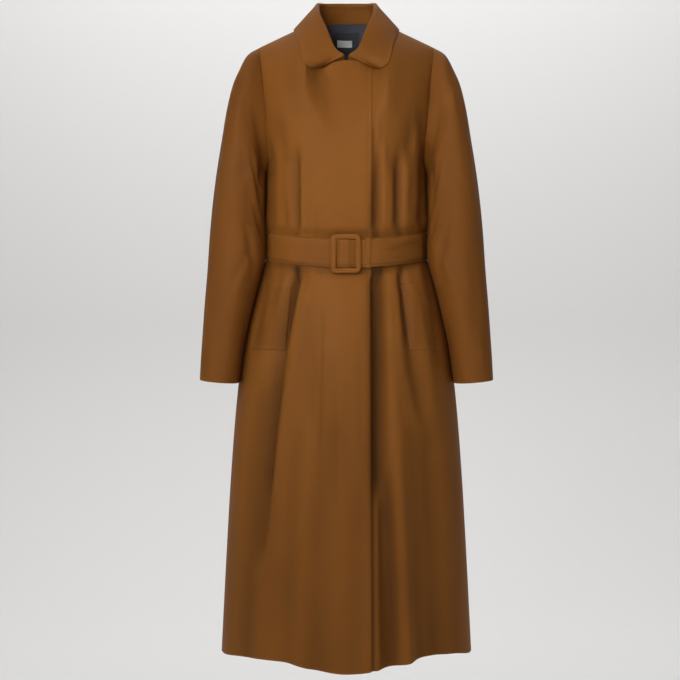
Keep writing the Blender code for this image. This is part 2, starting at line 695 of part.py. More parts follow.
def fall_edge_point(turn):
    """Where the fall's outer edge lies, already off the panel by its gap and half wall."""
    side = np.sign(turn) if turn else 1.0
    turns = named(FALL_EDGE, FALL_EDGE_NAMES, "turn")
    x = float(curve_through(turns, named(FALL_EDGE, FALL_EDGE_NAMES, "x"), abs(turn)))
    heights = [float(top_height(x_there, "front")) if z_there is None else z_there
               for _, x_there, z_there, _, _ in FALL_EDGE]
    z = float(curve_through(turns, heights, abs(turn)))
    panel = "front" if abs(turn) < 90 else "back"
    z = min(z, float(top_height(x, panel)) - 1e-5)
    spot = surface_at(np.array(x), np.array(z), panel)
    near = surface_at(np.array([x + 0.002, x]), np.array([z, z - 0.002]), panel)
    normal = unit(np.cross(near[0] - spot, near[1] - spot))
    if normal[1] * (-1 if panel == "front" else 1) < 0:
        normal = -normal
    if abs(abs(turn) - 90) < 12:
        normal = unit(normal * np.array([1.0, abs(abs(turn) - 90) / 12, 1.0]))
    lift = float(curve_through(turns, named(FALL_EDGE, FALL_EDGE_NAMES, "lift"), abs(turn)))
    lifted = spot + normal * (lift + COLLAR_WALL / 2)
    return lifted * np.array([side, 1.0, 1.0])


def collar_turns():
    """Turns from the wearer's right end of the collar round the back to the left end."""
    half = np.array(COLLAR_TURNS)
    return np.concatenate([-half, [180.0], half[::-1]])


def neck_seam(front, back):
    """Seam points and normals that the panels give, and the way off their edge, by turn."""
    found = []
    for turn in collar_turns():
        panel = "front" if abs(turn) <= 90 else "back"
        points, normals = front if panel == "front" else back
        if panel == "front" and turn > 0:
            points = under_layer(points, normals)
        centre = points.shape[1] // 2
        x = NECK_HALF_WIDTH * math.sin(math.radians(turn))
        if abs(turn) == 180:
            x = 0.0
        part = slice(centre - NECK_COLUMNS, centre + NECK_COLUMNS + 1)
        place = np.clip(x, points[0, part, 0].min(), points[0, part, 0].max())
        found.append([[np.interp(place, points[0, part, 0], source[part, axis])
                       for axis in range(3)] for source in (points[0], normals[0])])
    spots, normals = (np.array([row[i] for row in found]) for i in range(2))
    normals = unit(normals)
    edges = unit(np.cross(headings(spots, 0), normals))
    inwards = np.sum(edges * (np.array([0.0, 0.0, 0.05]) - spots), axis=1, keepdims=True)
    return spots, normals, edges * np.sign(inwards)


def make_collar(front, back):
    turns = collar_turns()
    seam, seam_normals, seam_edges = neck_seam(front, back)
    crest = np.array([crest_point(turn) for turn in turns])
    edge = np.array([fall_edge_point(turn) for turn in turns])
    rise = unit(crest - seam)
    make_stand(seam, seam_normals, seam_edges, crest, rise)
    make_fall(crest, edge, rise)


def make_stand(seam, seam_normals, seam_edges, crest, rise):
    """Its foot continues the panels' wall; above, its own wall leans to the crest."""
    foot = seam + seam_edges * SEAM_GAP * 1.5
    top = crest - rise * STAND_TOP
    rows = [foot + (top - foot) * part for part in (0.0, 0.2, 0.45, 0.72, 1.0)]
    grid = np.stack(rows)
    normals = unit(np.cross(headings(grid, 1), headings(grid, 0)))
    if np.sum(normals[2, :, :2] * grid[2, :, :2]) < 0:
        normals = -normals
    inner = grid - COLLAR_WALL * normals
    inner[0] = foot - SHELL_WALL * seam_normals
    wall("collar_stand", grid, inner)


def make_fall(crest, edge, rise):
    """Crest arc, then the leaf down to its edge; the wall is centred on the grid."""
    out = unit(np.cross(headings(crest, 0), rise))
    out *= np.sign(np.sum(out[:, :2] * crest[:, :2], axis=1, keepdims=True))
    start = crest - rise * (STAND_TOP - SEAM_GAP)
    pivot = crest - rise * CREST_RADIUS + out * CREST_RADIUS
    rows = [start]
    for angle in np.radians([175, 130, 90, 50, 15]):
        rows.append(pivot + CREST_RADIUS * (math.cos(angle) * out + math.sin(angle) * rise))
    shoulder = rows[-1]
    for part in (0.22, 0.45, 0.68, 0.86, 1.0):
        bulge = FALL_ROLL * math.sin(math.pi * part)
        rows.append(shoulder + (edge - shoulder) * part + (out + rise) * 0.7 * bulge)
    grid = np.stack(rows)
    normals = unit(np.cross(headings(grid, 1), headings(grid, 0)))
    if np.sum(normals[-3] * out) < 0:
        normals = -normals
    half = COLLAR_WALL / 2
    wall("collar_fall", grid + half * normals, grid - half * normals)


# ---------------------------------------------------------------- belt
def belt_station(turn, offset):
    """Point beside the belt line: turn in degrees from the centre front to +X."""
    def on_line(angle):
        panel = "front" if math.cos(angle) > 0 else "back"
        width = float(section(BELT_HEIGHT, "half_width"))
        depth = float(section(BELT_HEIGHT, panel))
        power = float(section(BELT_HEIGHT, "power"))
        reach = (abs(math.sin(angle)) / width) ** power
        reach = (reach + (abs(math.cos(angle)) / depth) ** power) ** (-1 / power)
        return np.array([reach * math.sin(angle), -reach * math.cos(angle)])

    angle = math.radians(turn)
    spot = on_line(angle)
    tangent = unit(on_line(angle + 0.01) - on_line(angle - 0.01))
    normal = np.array([tangent[1], -tangent[0]])
    panel = "front" if math.cos(angle) > 0 else "back"
    height = BELT_HEIGHT + float(belt_sag(spot[0], BELT_HEIGHT, panel))
    place = spot + normal * offset
    return np.array([place[0], place[1], height]), np.array([normal[0], normal[1], 0.0])


def front_station(x, offset):
    """The same near the centre front, by x instead of by turn."""
    depth = float(section(BELT_HEIGHT, "front"))
    width = float(section(BELT_HEIGHT, "half_width"))
    power = float(section(BELT_HEIGHT, "power"))
    y = depth * (1 - (abs(x) / width) ** power) ** (1 / power)
    return belt_station(math.degrees(math.atan2(x, y)), offset)


def strap_base():
    """The strap clears the keeper's under side near the buckle."""
    return KEEPER_WALL + 2 * SEAM_GAP + BELT_REST


def tail_base():
    return strap_base() + BELT_WALL + SEAM_GAP


def frame_base():
    return tail_base() + BELT_WALL + SEAM_GAP


def make_belt():
    """One strap: round the bar, round the waist, through the buckle, and its free end."""
    bar_half = CENTRE_BAR_WIDTH / 2
    loop_low = frame_base() - SEAM_GAP - LOOP_WALL / 2
    loop_high = frame_base() + CENTRE_BAR_THICK + SEAM_GAP + LOOP_WALL / 2
    loop_radius = (loop_high - loop_low) / 2
    bar_left = CENTRE_BAR_X - bar_half
    stations = []

    def add(x, offset, thick):
        place, normal = front_station(x, offset)
        stations.append([place, normal, thick])

    bar_right = CENTRE_BAR_X + bar_half
    loop = [(bar_right + 0.0010, loop_high), (CENTRE_BAR_X, loop_high)]
    for angle in (90, 125, 160, 200, 235, 270):
        turn = math.radians(angle)
        loop.append((bar_left + loop_radius * math.cos(turn),
                     (loop_low + loop_high) / 2 + loop_radius * math.sin(turn)))
    loop.append((bar_right, loop_low))
    _, centre_y, height = front_station(0.0, 0.0)[0]
    for x, offset in loop:
        stations.append([np.array([x, centre_y - offset, height]), None, LOOP_WALL])
    mid = strap_base() + BELT_WALL / 2
    add(0.0080, mid + 0.0012, BELT_WALL * 0.8)
    for x in (0.0150, 0.0300, 0.0500):
        add(x, mid, BELT_WALL)
    low = BELT_REST + BELT_WALL / 2
    for turn in np.arange(30, 330, 6.0):
        near = 1 - ease((min(turn, 360 - turn) - 24) / 20)
        lift = near * (strap_base() - BELT_REST) if turn < 180 else 0.0
        place, normal = belt_station(turn, low + lift)
        stations.append([place, normal, BELT_WALL])
    tail_low = frame_base() - SEAM_GAP - BELT_WALL / 2
    tail_mid = tail_base() + BELT_WALL / 2
    over = loop_high + LOOP_WALL / 2 + SEAM_GAP + BELT_WALL / 2
    left, right = BUCKLE_X - BUCKLE_WIDTH / 2, BUCKLE_X + BUCKLE_WIDTH / 2
    rise = ((-0.060, low), (left - 0.014, low + 0.0012), (left, tail_low),
            (left + BUCKLE_BAR, tail_low), (bar_left - 0.0050, over - 0.0014),
            (bar_left - 0.0010, over), (bar_right + 0.0025, over),
            (bar_right + 0.0080, over - 0.0028), (right - BUCKLE_BAR, tail_low),
            (right, tail_mid), (0.0320, tail_mid), (0.0500, tail_mid))
    for x, offset in rise:
        add(x, offset, BELT_WALL)
    for turn in np.arange(30, TAIL_END_TURN + 1, 6.0):
        near = 1 - ease((turn - 24) / 20)
        lift = near * (strap_base() - BELT_REST) + BELT_WALL + 2 * SEAM_GAP
        place, normal = belt_station(turn, low + lift)
        stations.append([place, normal, BELT_WALL])
    smooth_normals(stations)
    half = BELT_WIDTH / 2
    profile = [[(-t / 2, -half + t / 3), (-t / 2, half - t / 3), (-t / 5, half),
                (t / 5, half), (t / 2, half - t / 3), (t / 2, -half + t / 3),
                (t / 5, -half), (-t / 5, -half)] for _, _, t in stations]
    sweep("belt", [s[0] for s in stations], [s[1] for s in stations],
          [np.array([0.0, 0.0, 1.0])] * len(stations), np.array(profile), CAMEL, 0.85, False)


def smooth_normals(stations):
    """Give each station the normal of the path it lies on."""
    path = np.array([s[0] for s in stations]) * np.array([1.0, 1.0, 0.0])
    way = headings(path, 0)
    for station, heading in zip(stations, way):
        station[1] = np.array([heading[1], -heading[0], 0.0])


def make_keeper():
    """Flat loop round the strap and the free end."""
    low = BELT_REST + KEEPER_WALL / 2
    high = tail_base() + BELT_WALL + SEAM_GAP + KEEPER_WALL / 2
    half = BELT_WIDTH / 2 + 2 * SEAM_GAP + KEEPER_WALL / 2
    place, normal = front_station(KEEPER_X, 0.0)
    along = np.array([-normal[1], normal[0], 0.0])
    rise = np.array([0.0, 0.0, 1.0])
    corner = 0.0012
    loop = rounded_rectangle(high - low, 2 * half, corner, 2)
    middle = (low + high) / 2
    centres = [place + normal * (middle + u) + rise * v for u, v, _, _ in loop]
    across = [normal * a + rise * b for _, _, a, b in loop]
    profile = [(-KEEPER_WALL / 2, -KEEPER_WIDTH / 2), (KEEPER_WALL / 2, -KEEPER_WIDTH / 2),
               (KEEPER_WALL / 2, KEEPER_WIDTH / 2), (-KEEPER_WALL / 2, KEEPER_WIDTH / 2)]
    sweep("belt_keeper", centres, across, [along] * len(loop), profile, CAMEL, 0.85, True)


def rounded_rectangle(width, height, radius, steps):
    """Points (u, v) round a rectangle with their outward directions."""
    points = []
    for quarter, (su, sv) in enumerate(((1, 1), (-1, 1), (-1, -1), (1, -1))):
        for step in range(steps + 1):
            angle = math.pi / 2 * (quarter + step / steps)
            a, b = math.cos(angle), math.sin(angle)
            points.append((su * (width / 2 - radius) + radius * a,
                           sv * (height / 2 - radius) + radius * b, a, b))
    return points


def make_buckle():
    """Covered frame with rounded bars, and a flat bar across its middle."""
    place, _ = front_station(0.0, frame_base())
    height = place[2]
    middle_y = place[1] - BUCKLE_THICK / 2
    loop = rounded_rectangle(BUCKLE_WIDTH - BUCKLE_BAR, BUCKLE_HEIGHT - BUCKLE_BAR,
                             BUCKLE_CORNER - BUCKLE_BAR / 2, 4)
    centres = [np.array([BUCKLE_X + u, middle_y, height + v]) for u, v, _, _ in loop]
    across = [np.array([a, 0.0, b]) for _, _, a, b in loop]
    half, thick = BUCKLE_BAR / 2, BUCKLE_THICK / 2
    profile = [(-half, -thick * 0.4), (-half * 0.7, -thick), (half * 0.7, -thick),
               (half, -thick * 0.4), (half, thick * 0.4), (half * 0.7, thick),
               (-half * 0.7, thick), (-half, thick * 0.4)]
    depth = np.array([0.0, -1.0, 0.0])
    frame = sweep("buckle", centres, across, [depth] * len(loop), profile,
                  CAMEL_DARK, 0.8, True)
    bpy.ops.mesh.primitive_cube_add(size=1.0)
    bar = bpy.context.object
    bar.name = "buckle_bar_cutter"
    bar.scale = (CENTRE_BAR_WIDTH, CENTRE_BAR_THICK, BUCKLE_HEIGHT - BUCKLE_BAR)
    bar.location = (CENTRE_BAR_X, place[1] - CENTRE_BAR_THICK / 2 - 0.0001, height)
    bar.hide_render = True
    bar.display_type = "WIRE"
    for holder in list(bar.users_collection):
        holder.objects.unlink(bar)
    cutters.objects.link(bar)
    join = frame.modifiers.new("centre bar", "BOOLEAN")
    join.operation = "UNION"
    join.object = bar


def new_collection(name):
    made = bpy.data.collections.new(name)
    bpy.context.scene.collection.children.link(made)
    return made


for old in list(bpy.data.objects):
    bpy.data.objects.remove(old, do_unlink=True)
coat = new_collection("belted coat")
cutters = new_collection("joined shapes")

front_form = panel_form("front")
back_form = panel_form("back")
make_front_right(*front_form)
make_front_left(*front_form)
make_backs(*back_form)
make_sleeves(front_form, back_form)
make_collar(front_form, back_form)
make_neck_lining(*back_form)
make_pocket_welts(*front_form)
make_belt()
make_keeper()
make_buckle()
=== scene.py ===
# %% [markdown]
# # A long belted coat, hanging as it is worn
# This lesson dresses a construction model of a long cotton coat. The construction model
# gives every sewn piece its place and size. Here each piece is made again as fine cloth,
# with its creases, turned edges, stitches and weave, on the same form.
# %% Load the frame
import math

import bmesh
import bpy
import numpy as np
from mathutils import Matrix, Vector


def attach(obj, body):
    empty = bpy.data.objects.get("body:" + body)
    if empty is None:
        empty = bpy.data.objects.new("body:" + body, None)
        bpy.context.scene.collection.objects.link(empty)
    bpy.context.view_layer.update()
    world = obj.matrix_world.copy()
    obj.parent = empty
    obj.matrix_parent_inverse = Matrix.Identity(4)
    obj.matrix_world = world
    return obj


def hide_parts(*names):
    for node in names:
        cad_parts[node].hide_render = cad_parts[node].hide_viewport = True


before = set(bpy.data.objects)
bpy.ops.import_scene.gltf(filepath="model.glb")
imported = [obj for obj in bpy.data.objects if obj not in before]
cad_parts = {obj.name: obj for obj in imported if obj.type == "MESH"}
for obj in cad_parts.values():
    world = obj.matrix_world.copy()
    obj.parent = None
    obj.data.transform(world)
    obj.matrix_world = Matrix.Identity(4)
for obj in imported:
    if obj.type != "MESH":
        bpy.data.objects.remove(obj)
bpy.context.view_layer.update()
print("construction pieces:", sorted(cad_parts))

# %% [markdown]
# ## The camera first
# The coat was seen from straight ahead, from about the height of its belt. A camera 3.6 m
# away with a long lens keeps the upright lines nearly upright. It looks down two and a half
# degrees and a trace to the left, to frame the coat. A lens shift would do the same, but
# only from the front: from every other side it would push the coat out of the middle. The
# front hem is nearer to the lens than the side seams, so it falls lower in the picture. Most
# of the hem's curve comes from this, and the rest from a small table below.
# %% Camera
FRAME_PIXELS = 680
FOCAL_PIXELS = 1891.2
CAMERA_PLACE = (-0.0022, -3.6256, -0.4258)
LOOK_DOWN = math.radians(2.538)
LOOK_LEFT = math.radians(0.160)
SENSOR = 36.0


def put_in_scene(name, data):
    """A new object at the origin, with its place in its mesh."""
    made = bpy.data.objects.new(name, data)
    bpy.context.scene.collection.objects.link(made)
    return made


lens = bpy.data.cameras.new("studio camera")
lens.sensor_width = SENSOR
lens.lens = SENSOR * FOCAL_PIXELS / FRAME_PIXELS
lens.clip_end = 50.0
camera = put_in_scene("studio camera", lens)
camera.location = CAMERA_PLACE
camera.rotation_euler = (math.radians(90) - LOOK_DOWN, 0.0, LOOK_LEFT)
bpy.context.scene.camera = camera
print("lens", round(lens.lens, 1), "mm")

# %% [markdown]
# ## Sizes of the coat
# The cloth hangs on one hollow form. Horizontal sections give its half width at the side
# seam (or at the armhole, above the underarm), its depth to the front and to the back, and
# how square each section is. These are the construction's own sizes, in metres.
# %% Sizes of the form
SEAM_GAP = 0.0003
SEAM_CLOSE = 0.00002           # half the gap left where two panels are sewn together
SHELL_WALL = 0.0016
COLLAR_WALL = 0.0022
LINING_WALL = 0.0010
LABEL_WALL = 0.0010
BELT_WALL = 0.0022
NECK_HALF_WIDTH = 0.076
NECK_DEPTH = {"front": 0.075, "back": 0.068}
NECK_POINT = 0.013             # height of the seam at the side of the neck
NECK_SWING = {"front": -0.073, "back": 0.011}
NECK_CURVE = {"front": 1.1, "back": 0.75}
NECK_SOFTEN = 1.2
NECK_REACH = 0.050
SHOULDER_POINT = 0.166
SHOULDER_SLOPE = 0.466
UNDERARM = -0.275
ARMHOLE_DEPTH = {"front": 0.066, "back": 0.062}
RIDGE_DROP = 0.160             # the shoulder's roundness ends this far below it
RIDGE_ROUND = 1.7
RIDGE_SQUARE = 0.8             # the ends of the shoulders are this much squarer
SQUARE_START, SQUARE_REACH = 0.050, 0.045
OVERLAP = 0.046
UNDERLAP_BLEND = 0.034
BELT_HEIGHT = -0.407
BELT_WIDTH = 0.052
BELT_SAG = {"front": -0.014, "back": 0.004}
SAG_HELD = 0.6                 # of the belt's width: so far the cloth moves with it
SAG_REACH = 0.110
HEM = -1.184
HEM_RISE_NAMES = ("x", "rise")
HEM_RISE = (
    (-0.241, 0.000),
    (-0.200, 0.008),
    (-0.120, 0.013),
    (-0.067, 0.003),
    (0.000, -0.004),
    (0.067, 0.002),
    (0.117, 0.012),
    (0.150, 0.018),
    (0.200, 0.014),
    (0.241, 0.000),
)
HEM_RISE_START = -0.850
BLOUSE_POWER = 8               # a high power keeps the swell beside the belt at the sides
BLOUSE_NAMES = ("height", "out")
BLOUSE = (
    (-0.3400, 0.0000),
    (-0.3705, 0.0031),
    (-0.3768, 0.0026),
    (-0.3827, 0.0000),
    (-0.4305, 0.0000),
    (-0.4366, 0.0027),
    (-0.4425, 0.0045),
    (-0.4485, 0.0034),
    (-0.4545, 0.0009),
    (-0.4640, 0.0000),
)

SECTION_NAMES = ("height", "half_width", "front", "back", "power")
SECTIONS = (
    (0.000, 0.166, 0.126, 0.112, 2.30),
    (-0.060, 0.160, 0.134, 0.120, 2.35),
    (-0.130, 0.154, 0.142, 0.127, 2.40),
    (-0.190, 0.150, 0.146, 0.128, 2.40),
    (-0.240, 0.149, 0.146, 0.126, 2.35),
    (-0.275, 0.152, 0.145, 0.123, 2.30),
    (-0.330, 0.155, 0.143, 0.120, 2.25),
    (-0.362, 0.156, 0.138, 0.116, 2.20),
    (-0.376, 0.153, 0.126, 0.108, 2.20),
    (-0.438, 0.153, 0.126, 0.108, 2.20),
    (-0.454, 0.160, 0.134, 0.117, 2.20),
    (-0.520, 0.179, 0.150, 0.135, 2.20),
    (-0.600, 0.197, 0.166, 0.150, 2.20),
    (-0.700, 0.210, 0.180, 0.165, 2.15),
    (-0.850, 0.222, 0.192, 0.179, 2.10),
    (-1.000, 0.231, 0.201, 0.190, 2.00),
    (HEM, 0.241, 0.208, 0.200, 1.85),
)
print(len(SECTIONS), "sections, from the shoulder down to the hem at", HEM, "m")

# %% [markdown]
# ## Folds
# A fold is a trough that runs down the cloth through three places, with a softer ridge on
# one side. The largest folds are those of the construction. The finer creases beside them
# are listed in the same way: short gathers above and below the belt, drag lines
# at the armholes, and long soft ones in the skirt, none of them quite alike. "ridge" says
# on which side the soft ridge rises: 1 is towards the wearer's left.
# %% Fold tables
BELT_TOP = -0.376              # folds above the belt end here
BELT_FOOT = -0.438             # and those below it begin here
PAST_HEM = -1.300
FOLD_HELD = 0.024              # a fold that the belt holds is at its depth this far from it
FOLD_FADE = 0.070              # a free end dies away over this length
FOLD_FREE = -0.500             # folds that start below this height aren't held by the belt
RIDGE_HEIGHT = 0.45            # of the depth of the trough beside it
RIDGE_AWAY = 1.9               # widths of the trough
FOLD_NAMES = ("x1", "z1", "x2", "z2", "x3", "z3", "depth", "width", "ridge")
FOLDS = {
    "front": (
        (-0.098, -0.200, -0.097, -0.290, -0.096, BELT_TOP, 0.0070, 0.011, 1),
        (0.060, -0.240, 0.059, -0.310, 0.057, BELT_TOP, 0.0070, 0.011, 1),
        (0.096, -0.210, 0.095, -0.300, 0.095, BELT_TOP, 0.0070, 0.011, 1),
        (0.122, -0.250, 0.121, -0.310, 0.119, BELT_TOP, 0.0035, 0.010, -1),
        (-0.122, -0.250, -0.121, -0.310, -0.119, BELT_TOP, 0.0035, 0.010, -1),
        (-0.090, BELT_FOOT, -0.126, -0.620, -0.168, -1.020, 0.0110, 0.015, 1),
        (0.060, BELT_FOOT, 0.064, -0.750, 0.084, PAST_HEM, 0.0150, 0.016, 1),
        (0.100, BELT_FOOT, 0.118, -0.585, 0.150, -0.760, 0.0090, 0.014, 1),
        (-0.030, -0.700, -0.045, -0.950, -0.060, PAST_HEM, 0.0060, 0.026, -1),
        (0.150, -0.720, 0.163, -0.950, 0.175, PAST_HEM, 0.0080, 0.020, 1),
    ),
    "back": (
        (-0.060, -0.220, -0.058, -0.300, -0.056, BELT_TOP, 0.0060, 0.012, 1),
        (0.072, -0.240, 0.070, -0.310, 0.068, BELT_TOP, 0.0060, 0.012, -1),
        (-0.066, BELT_FOOT, -0.086, -0.640, -0.118, PAST_HEM, 0.0120, 0.018, 1),
        (0.058, BELT_FOOT, 0.070, -0.680, 0.096, PAST_HEM, 0.0120, 0.018, -1),
        (0.118, BELT_FOOT, 0.140, -0.600, 0.165, -0.900, 0.0080, 0.015, 1),
    ),
}
CREASES = {
    "front": (
        (-0.0920, -0.215, -0.0915, -0.290, -0.0905, BELT_TOP, 0.0052, 0.0050, 1),
        (0.0590, -0.190, 0.0580, -0.290, 0.0575, BELT_TOP, 0.0062, 0.0058, 1),
        (0.0985, -0.215, 0.0980, -0.300, 0.0975, BELT_TOP, 0.0062, 0.0062, 1),
        (0.1425, -0.130, 0.1430, -0.220, 0.1420, BELT_TOP, 0.0052, 0.0080, -1),
        (-0.1435, -0.170, -0.1440, -0.260, -0.1430, BELT_TOP, 0.0030, 0.0080, 1),
        (0.0510, -0.140, 0.0510, -0.250, 0.0510, BELT_TOP, 0.0022, 0.0042, 1),
        (0.0505, BELT_FOOT, 0.0505, -0.750, 0.0510, PAST_HEM, 0.0056, 0.0048, 1),
        (-0.0890, BELT_FOOT, -0.1040, -0.510, -0.1240, -0.640, 0.0078, 0.0060, 1),
        (-0.1180, -0.600, -0.1340, -0.720, -0.1520, -0.900, 0.0050, 0.0095, 1),
        (0.0620, BELT_FOOT, 0.0605, -0.600, 0.0575, -0.900, 0.0080, 0.0080, 1),
        (0.0720, -0.780, 0.0860, -0.980, 0.0970, PAST_HEM, 0.0060, 0.0110, 1),
        (0.1000, BELT_FOOT, 0.1080, -0.510, 0.1200, -0.620, 0.0068, 0.0060, 1),
        (-0.0560, -0.560, -0.0600, -0.680, -0.0650, -0.820, 0.0012, 0.0050, 1),
        (-0.0400, -0.500, -0.0420, -0.640, -0.0460, -0.800, 0.0010, 0.0044, -1),
        (-0.0180, -0.620, -0.0190, -0.760, -0.0210, -0.920, 0.0010, 0.0050, 1),
        (0.0250, -0.540, 0.0250, -0.660, 0.0260, -0.800, 0.0009, 0.0046, -1),
        (-0.117, -0.285, -0.115, -0.330, -0.113, BELT_TOP, 0.0016, 0.0055, 1),
        (-0.080, -0.270, -0.078, -0.325, -0.075, BELT_TOP, 0.0018, 0.0060, -1),
        (-0.056, -0.300, -0.055, -0.340, -0.053, BELT_TOP, 0.0012, 0.0055, 1),
        (-0.030, -0.325, -0.030, -0.350, -0.029, BELT_TOP, 0.0008, 0.0050, -1),
        (0.016, -0.330, 0.015, -0.355, 0.015, BELT_TOP, 0.0007, 0.0050, 1),
        (0.077, -0.255, 0.076, -0.315, 0.074, BELT_TOP, 0.0022, 0.0060, -1),
        (0.109, -0.275, 0.108, -0.330, 0.107, BELT_TOP, 0.0018, 0.0055, 1),
        (0.136, -0.290, 0.135, -0.335, 0.133, BELT_TOP, 0.0018, 0.0060, -1),
        (-0.137, -0.275, -0.136, -0.330, -0.134, BELT_TOP, 0.0016, 0.0060, 1),
        (-0.148, BELT_FOOT, -0.158, -0.520, -0.172, -0.640, 0.0030, 0.0090, -1),
        (-0.120, BELT_FOOT, -0.132, -0.500, -0.142, -0.560, 0.0024, 0.0070, 1),
        (-0.072, BELT_FOOT, -0.078, -0.490, -0.086, -0.545, 0.0014, 0.0060, -1),
        (-0.050, BELT_FOOT, -0.053, -0.475, -0.056, -0.515, 0.0012, 0.0055, 1),
        (-0.024, BELT_FOOT, -0.025, -0.465, -0.026, -0.495, 0.0010, 0.0050, -1),
        (0.012, BELT_FOOT, 0.012, -0.460, 0.013, -0.485, 0.0008, 0.0050, 1),
        (0.080, BELT_FOOT, 0.088, -0.560, 0.104, -0.760, 0.0024, 0.0085, -1),
        (0.124, BELT_FOOT, 0.138, -0.510, 0.152, -0.600, 0.0026, 0.0070, 1),
        (0.142, BELT_FOOT, 0.158, -0.520, 0.176, -0.660, 0.0030, 0.0090, -1),
        (-0.086, -0.700, -0.098, -0.880, -0.112, PAST_HEM, 0.0032, 0.0170, 1),
        (-0.150, -0.640, -0.172, -0.860, -0.196, PAST_HEM, 0.0040, 0.0180, -1),
        (0.022, -0.820, 0.018, -1.000, 0.012, PAST_HEM, 0.0022, 0.0180, 1),
        (0.118, -0.700, 0.130, -0.900, 0.142, PAST_HEM, 0.0034, 0.0150, -1),
        (0.196, -0.780, 0.204, -0.950, 0.210, PAST_HEM, 0.0030, 0.0130, 1),
        (-0.150, -0.120, -0.126, -0.185, -0.108, -0.250, 0.0026, 0.0120, -1),
        (0.148, -0.110, 0.124, -0.180, 0.108, -0.245, 0.0030, 0.0120, 1),
        (0.110, -0.040, 0.098, -0.100, 0.092, -0.165, 0.0018, 0.0130, 1),
        (-0.112, -0.045, -0.098, -0.105, -0.090, -0.170, 0.0016, 0.0140, -1),
    ),
    "back": (
        (-0.110, -0.270, -0.108, -0.325, -0.105, BELT_TOP, 0.0024, 0.0070, 1),
        (-0.085, -0.300, -0.083, -0.340, -0.081, BELT_TOP, 0.0016, 0.0060, -1),
        (-0.030, -0.310, -0.029, -0.345, -0.028, BELT_TOP, 0.0012, 0.0055, 1),
        (0.024, -0.300, 0.024, -0.340, 0.023, BELT_TOP, 0.0013, 0.0055, -1),
        (0.046, -0.290, 0.045, -0.335, 0.044, BELT_TOP, 0.0016, 0.0060, 1),
        (0.100, -0.280, 0.098, -0.330, 0.096, BELT_TOP, 0.0022, 0.0070, 1),
        (0.128, -0.290, 0.126, -0.335, 0.124, BELT_TOP, 0.0018, 0.0060, -1),
        (-0.130, BELT_FOOT, -0.146, -0.540, -0.166, -0.700, 0.0040, 0.0110, -1),
        (-0.098, BELT_FOOT, -0.108, -0.500, -0.118, -0.570, 0.0022, 0.0070, 1),
        (-0.032, BELT_FOOT, -0.036, -0.500, -0.040, -0.580, 0.0018, 0.0070, 1),
        (0.020, BELT_FOOT, 0.021, -0.480, 0.023, -0.530, 0.0012, 0.0060, -1),
        (0.088, BELT_FOOT, 0.096, -0.500, 0.106, -0.580, 0.0022, 0.0070, -1),
        (-0.150, -0.700, -0.168, -0.900, -0.186, PAST_HEM, 0.0050, 0.0180, 1),
        (-0.040, -0.760, -0.046, -0.960, -0.054, PAST_HEM, 0.0040, 0.0220, -1),
        (0.030, -0.800, 0.034, -1.000, 0.040, PAST_HEM, 0.0036, 0.0200, 1),
        (0.150, -0.820, 0.166, -1.000, 0.180, PAST_HEM, 0.0046, 0.0180, -1),
        (-0.140, -0.120, -0.112, -0.180, -0.090, -0.240, 0.0024, 0.0130, -1),
        (0.140, -0.110, 0.114, -0.175, 0.094, -0.240, 0.0024, 0.0130, 1),
    ),
}
for panel in ("front", "back"):
    print(panel, len(FOLDS[panel]), "large folds and", len(CREASES[panel]), "fine creases")

# %% [markdown]
# ## Curves through tables
# Every size between two rows of a table comes from a smooth curve that never swings past
# the rows. Blender has curve objects for this, but a small function in numpy is quicker
# when thousands of points are asked for at once.
# %% Curve helpers
def named(table, names, name):
    """One column of a table as an array."""
    place = names.index(name)
    return np.array([row[place] for row in table], dtype=float)


def curve_through(xs, ys, at):
    """Smooth curve through points that never swings past them."""
    xs = np.asarray(xs, dtype=float)
    ys = np.asarray(ys, dtype=float)
    if xs[0] > xs[-1]:
        xs, ys = xs[::-1], ys[::-1]
    step = np.diff(xs)
    slope = np.diff(ys) / step
    tangent = np.zeros(len(xs))
    tangent[0] = slope[0]
    tangent[-1] = slope[-1]
    same = slope[:-1] * slope[1:] > 0
    safe = np.where(same, slope[:-1] + slope[1:], 1.0)
    tangent[1:-1] = np.where(same, 2 * slope[:-1] * slope[1:] / safe, 0.0)
    at = np.clip(np.asarray(at, dtype=float), xs[0], xs[-1])
    cell = np.clip(np.searchsorted(xs, at, side="right") - 1, 0, len(step) - 1)
    part = (at - xs[cell]) / step[cell]
    rise = ys[cell] * (1 + 2 * part) * (1 - part) ** 2
    rise += ys[cell + 1] * part ** 2 * (3 - 2 * part)
    rise += tangent[cell] * step[cell] * part * (1 - part) ** 2
    rise += tangent[cell + 1] * step[cell] * part ** 2 * (part - 1)
    return rise


def ease(value):
    """0 to 1, level at both ends."""
    value = np.clip(value, 0.0, 1.0)
    return value * value * (3 - 2 * value)


def read_table(table, names, name, at):
    """A column of a table, as a smooth curve over its first column."""
    return curve_through(named(table, names, names[0]), named(table, names, name), at)


def section(height, name):
    """One size of the form at a height."""
    return read_table(SECTIONS, SECTION_NAMES, name, height)


def unit(vectors):
    length = np.linalg.norm(vectors, axis=-1, keepdims=True)
    return vectors / np.maximum(length, 1e-12)


def headings(points, axis):
    """Mean direction of the two steps that meet at each point along an axis."""
    steps = unit(np.diff(points, axis=axis))
    first = np.take(steps, [0], axis=axis)
    last = np.take(steps, [-1], axis=axis)
    before = np.concatenate([first, steps], axis=axis)
    after = np.concatenate([steps, last], axis=axis)
    return unit(before + after)


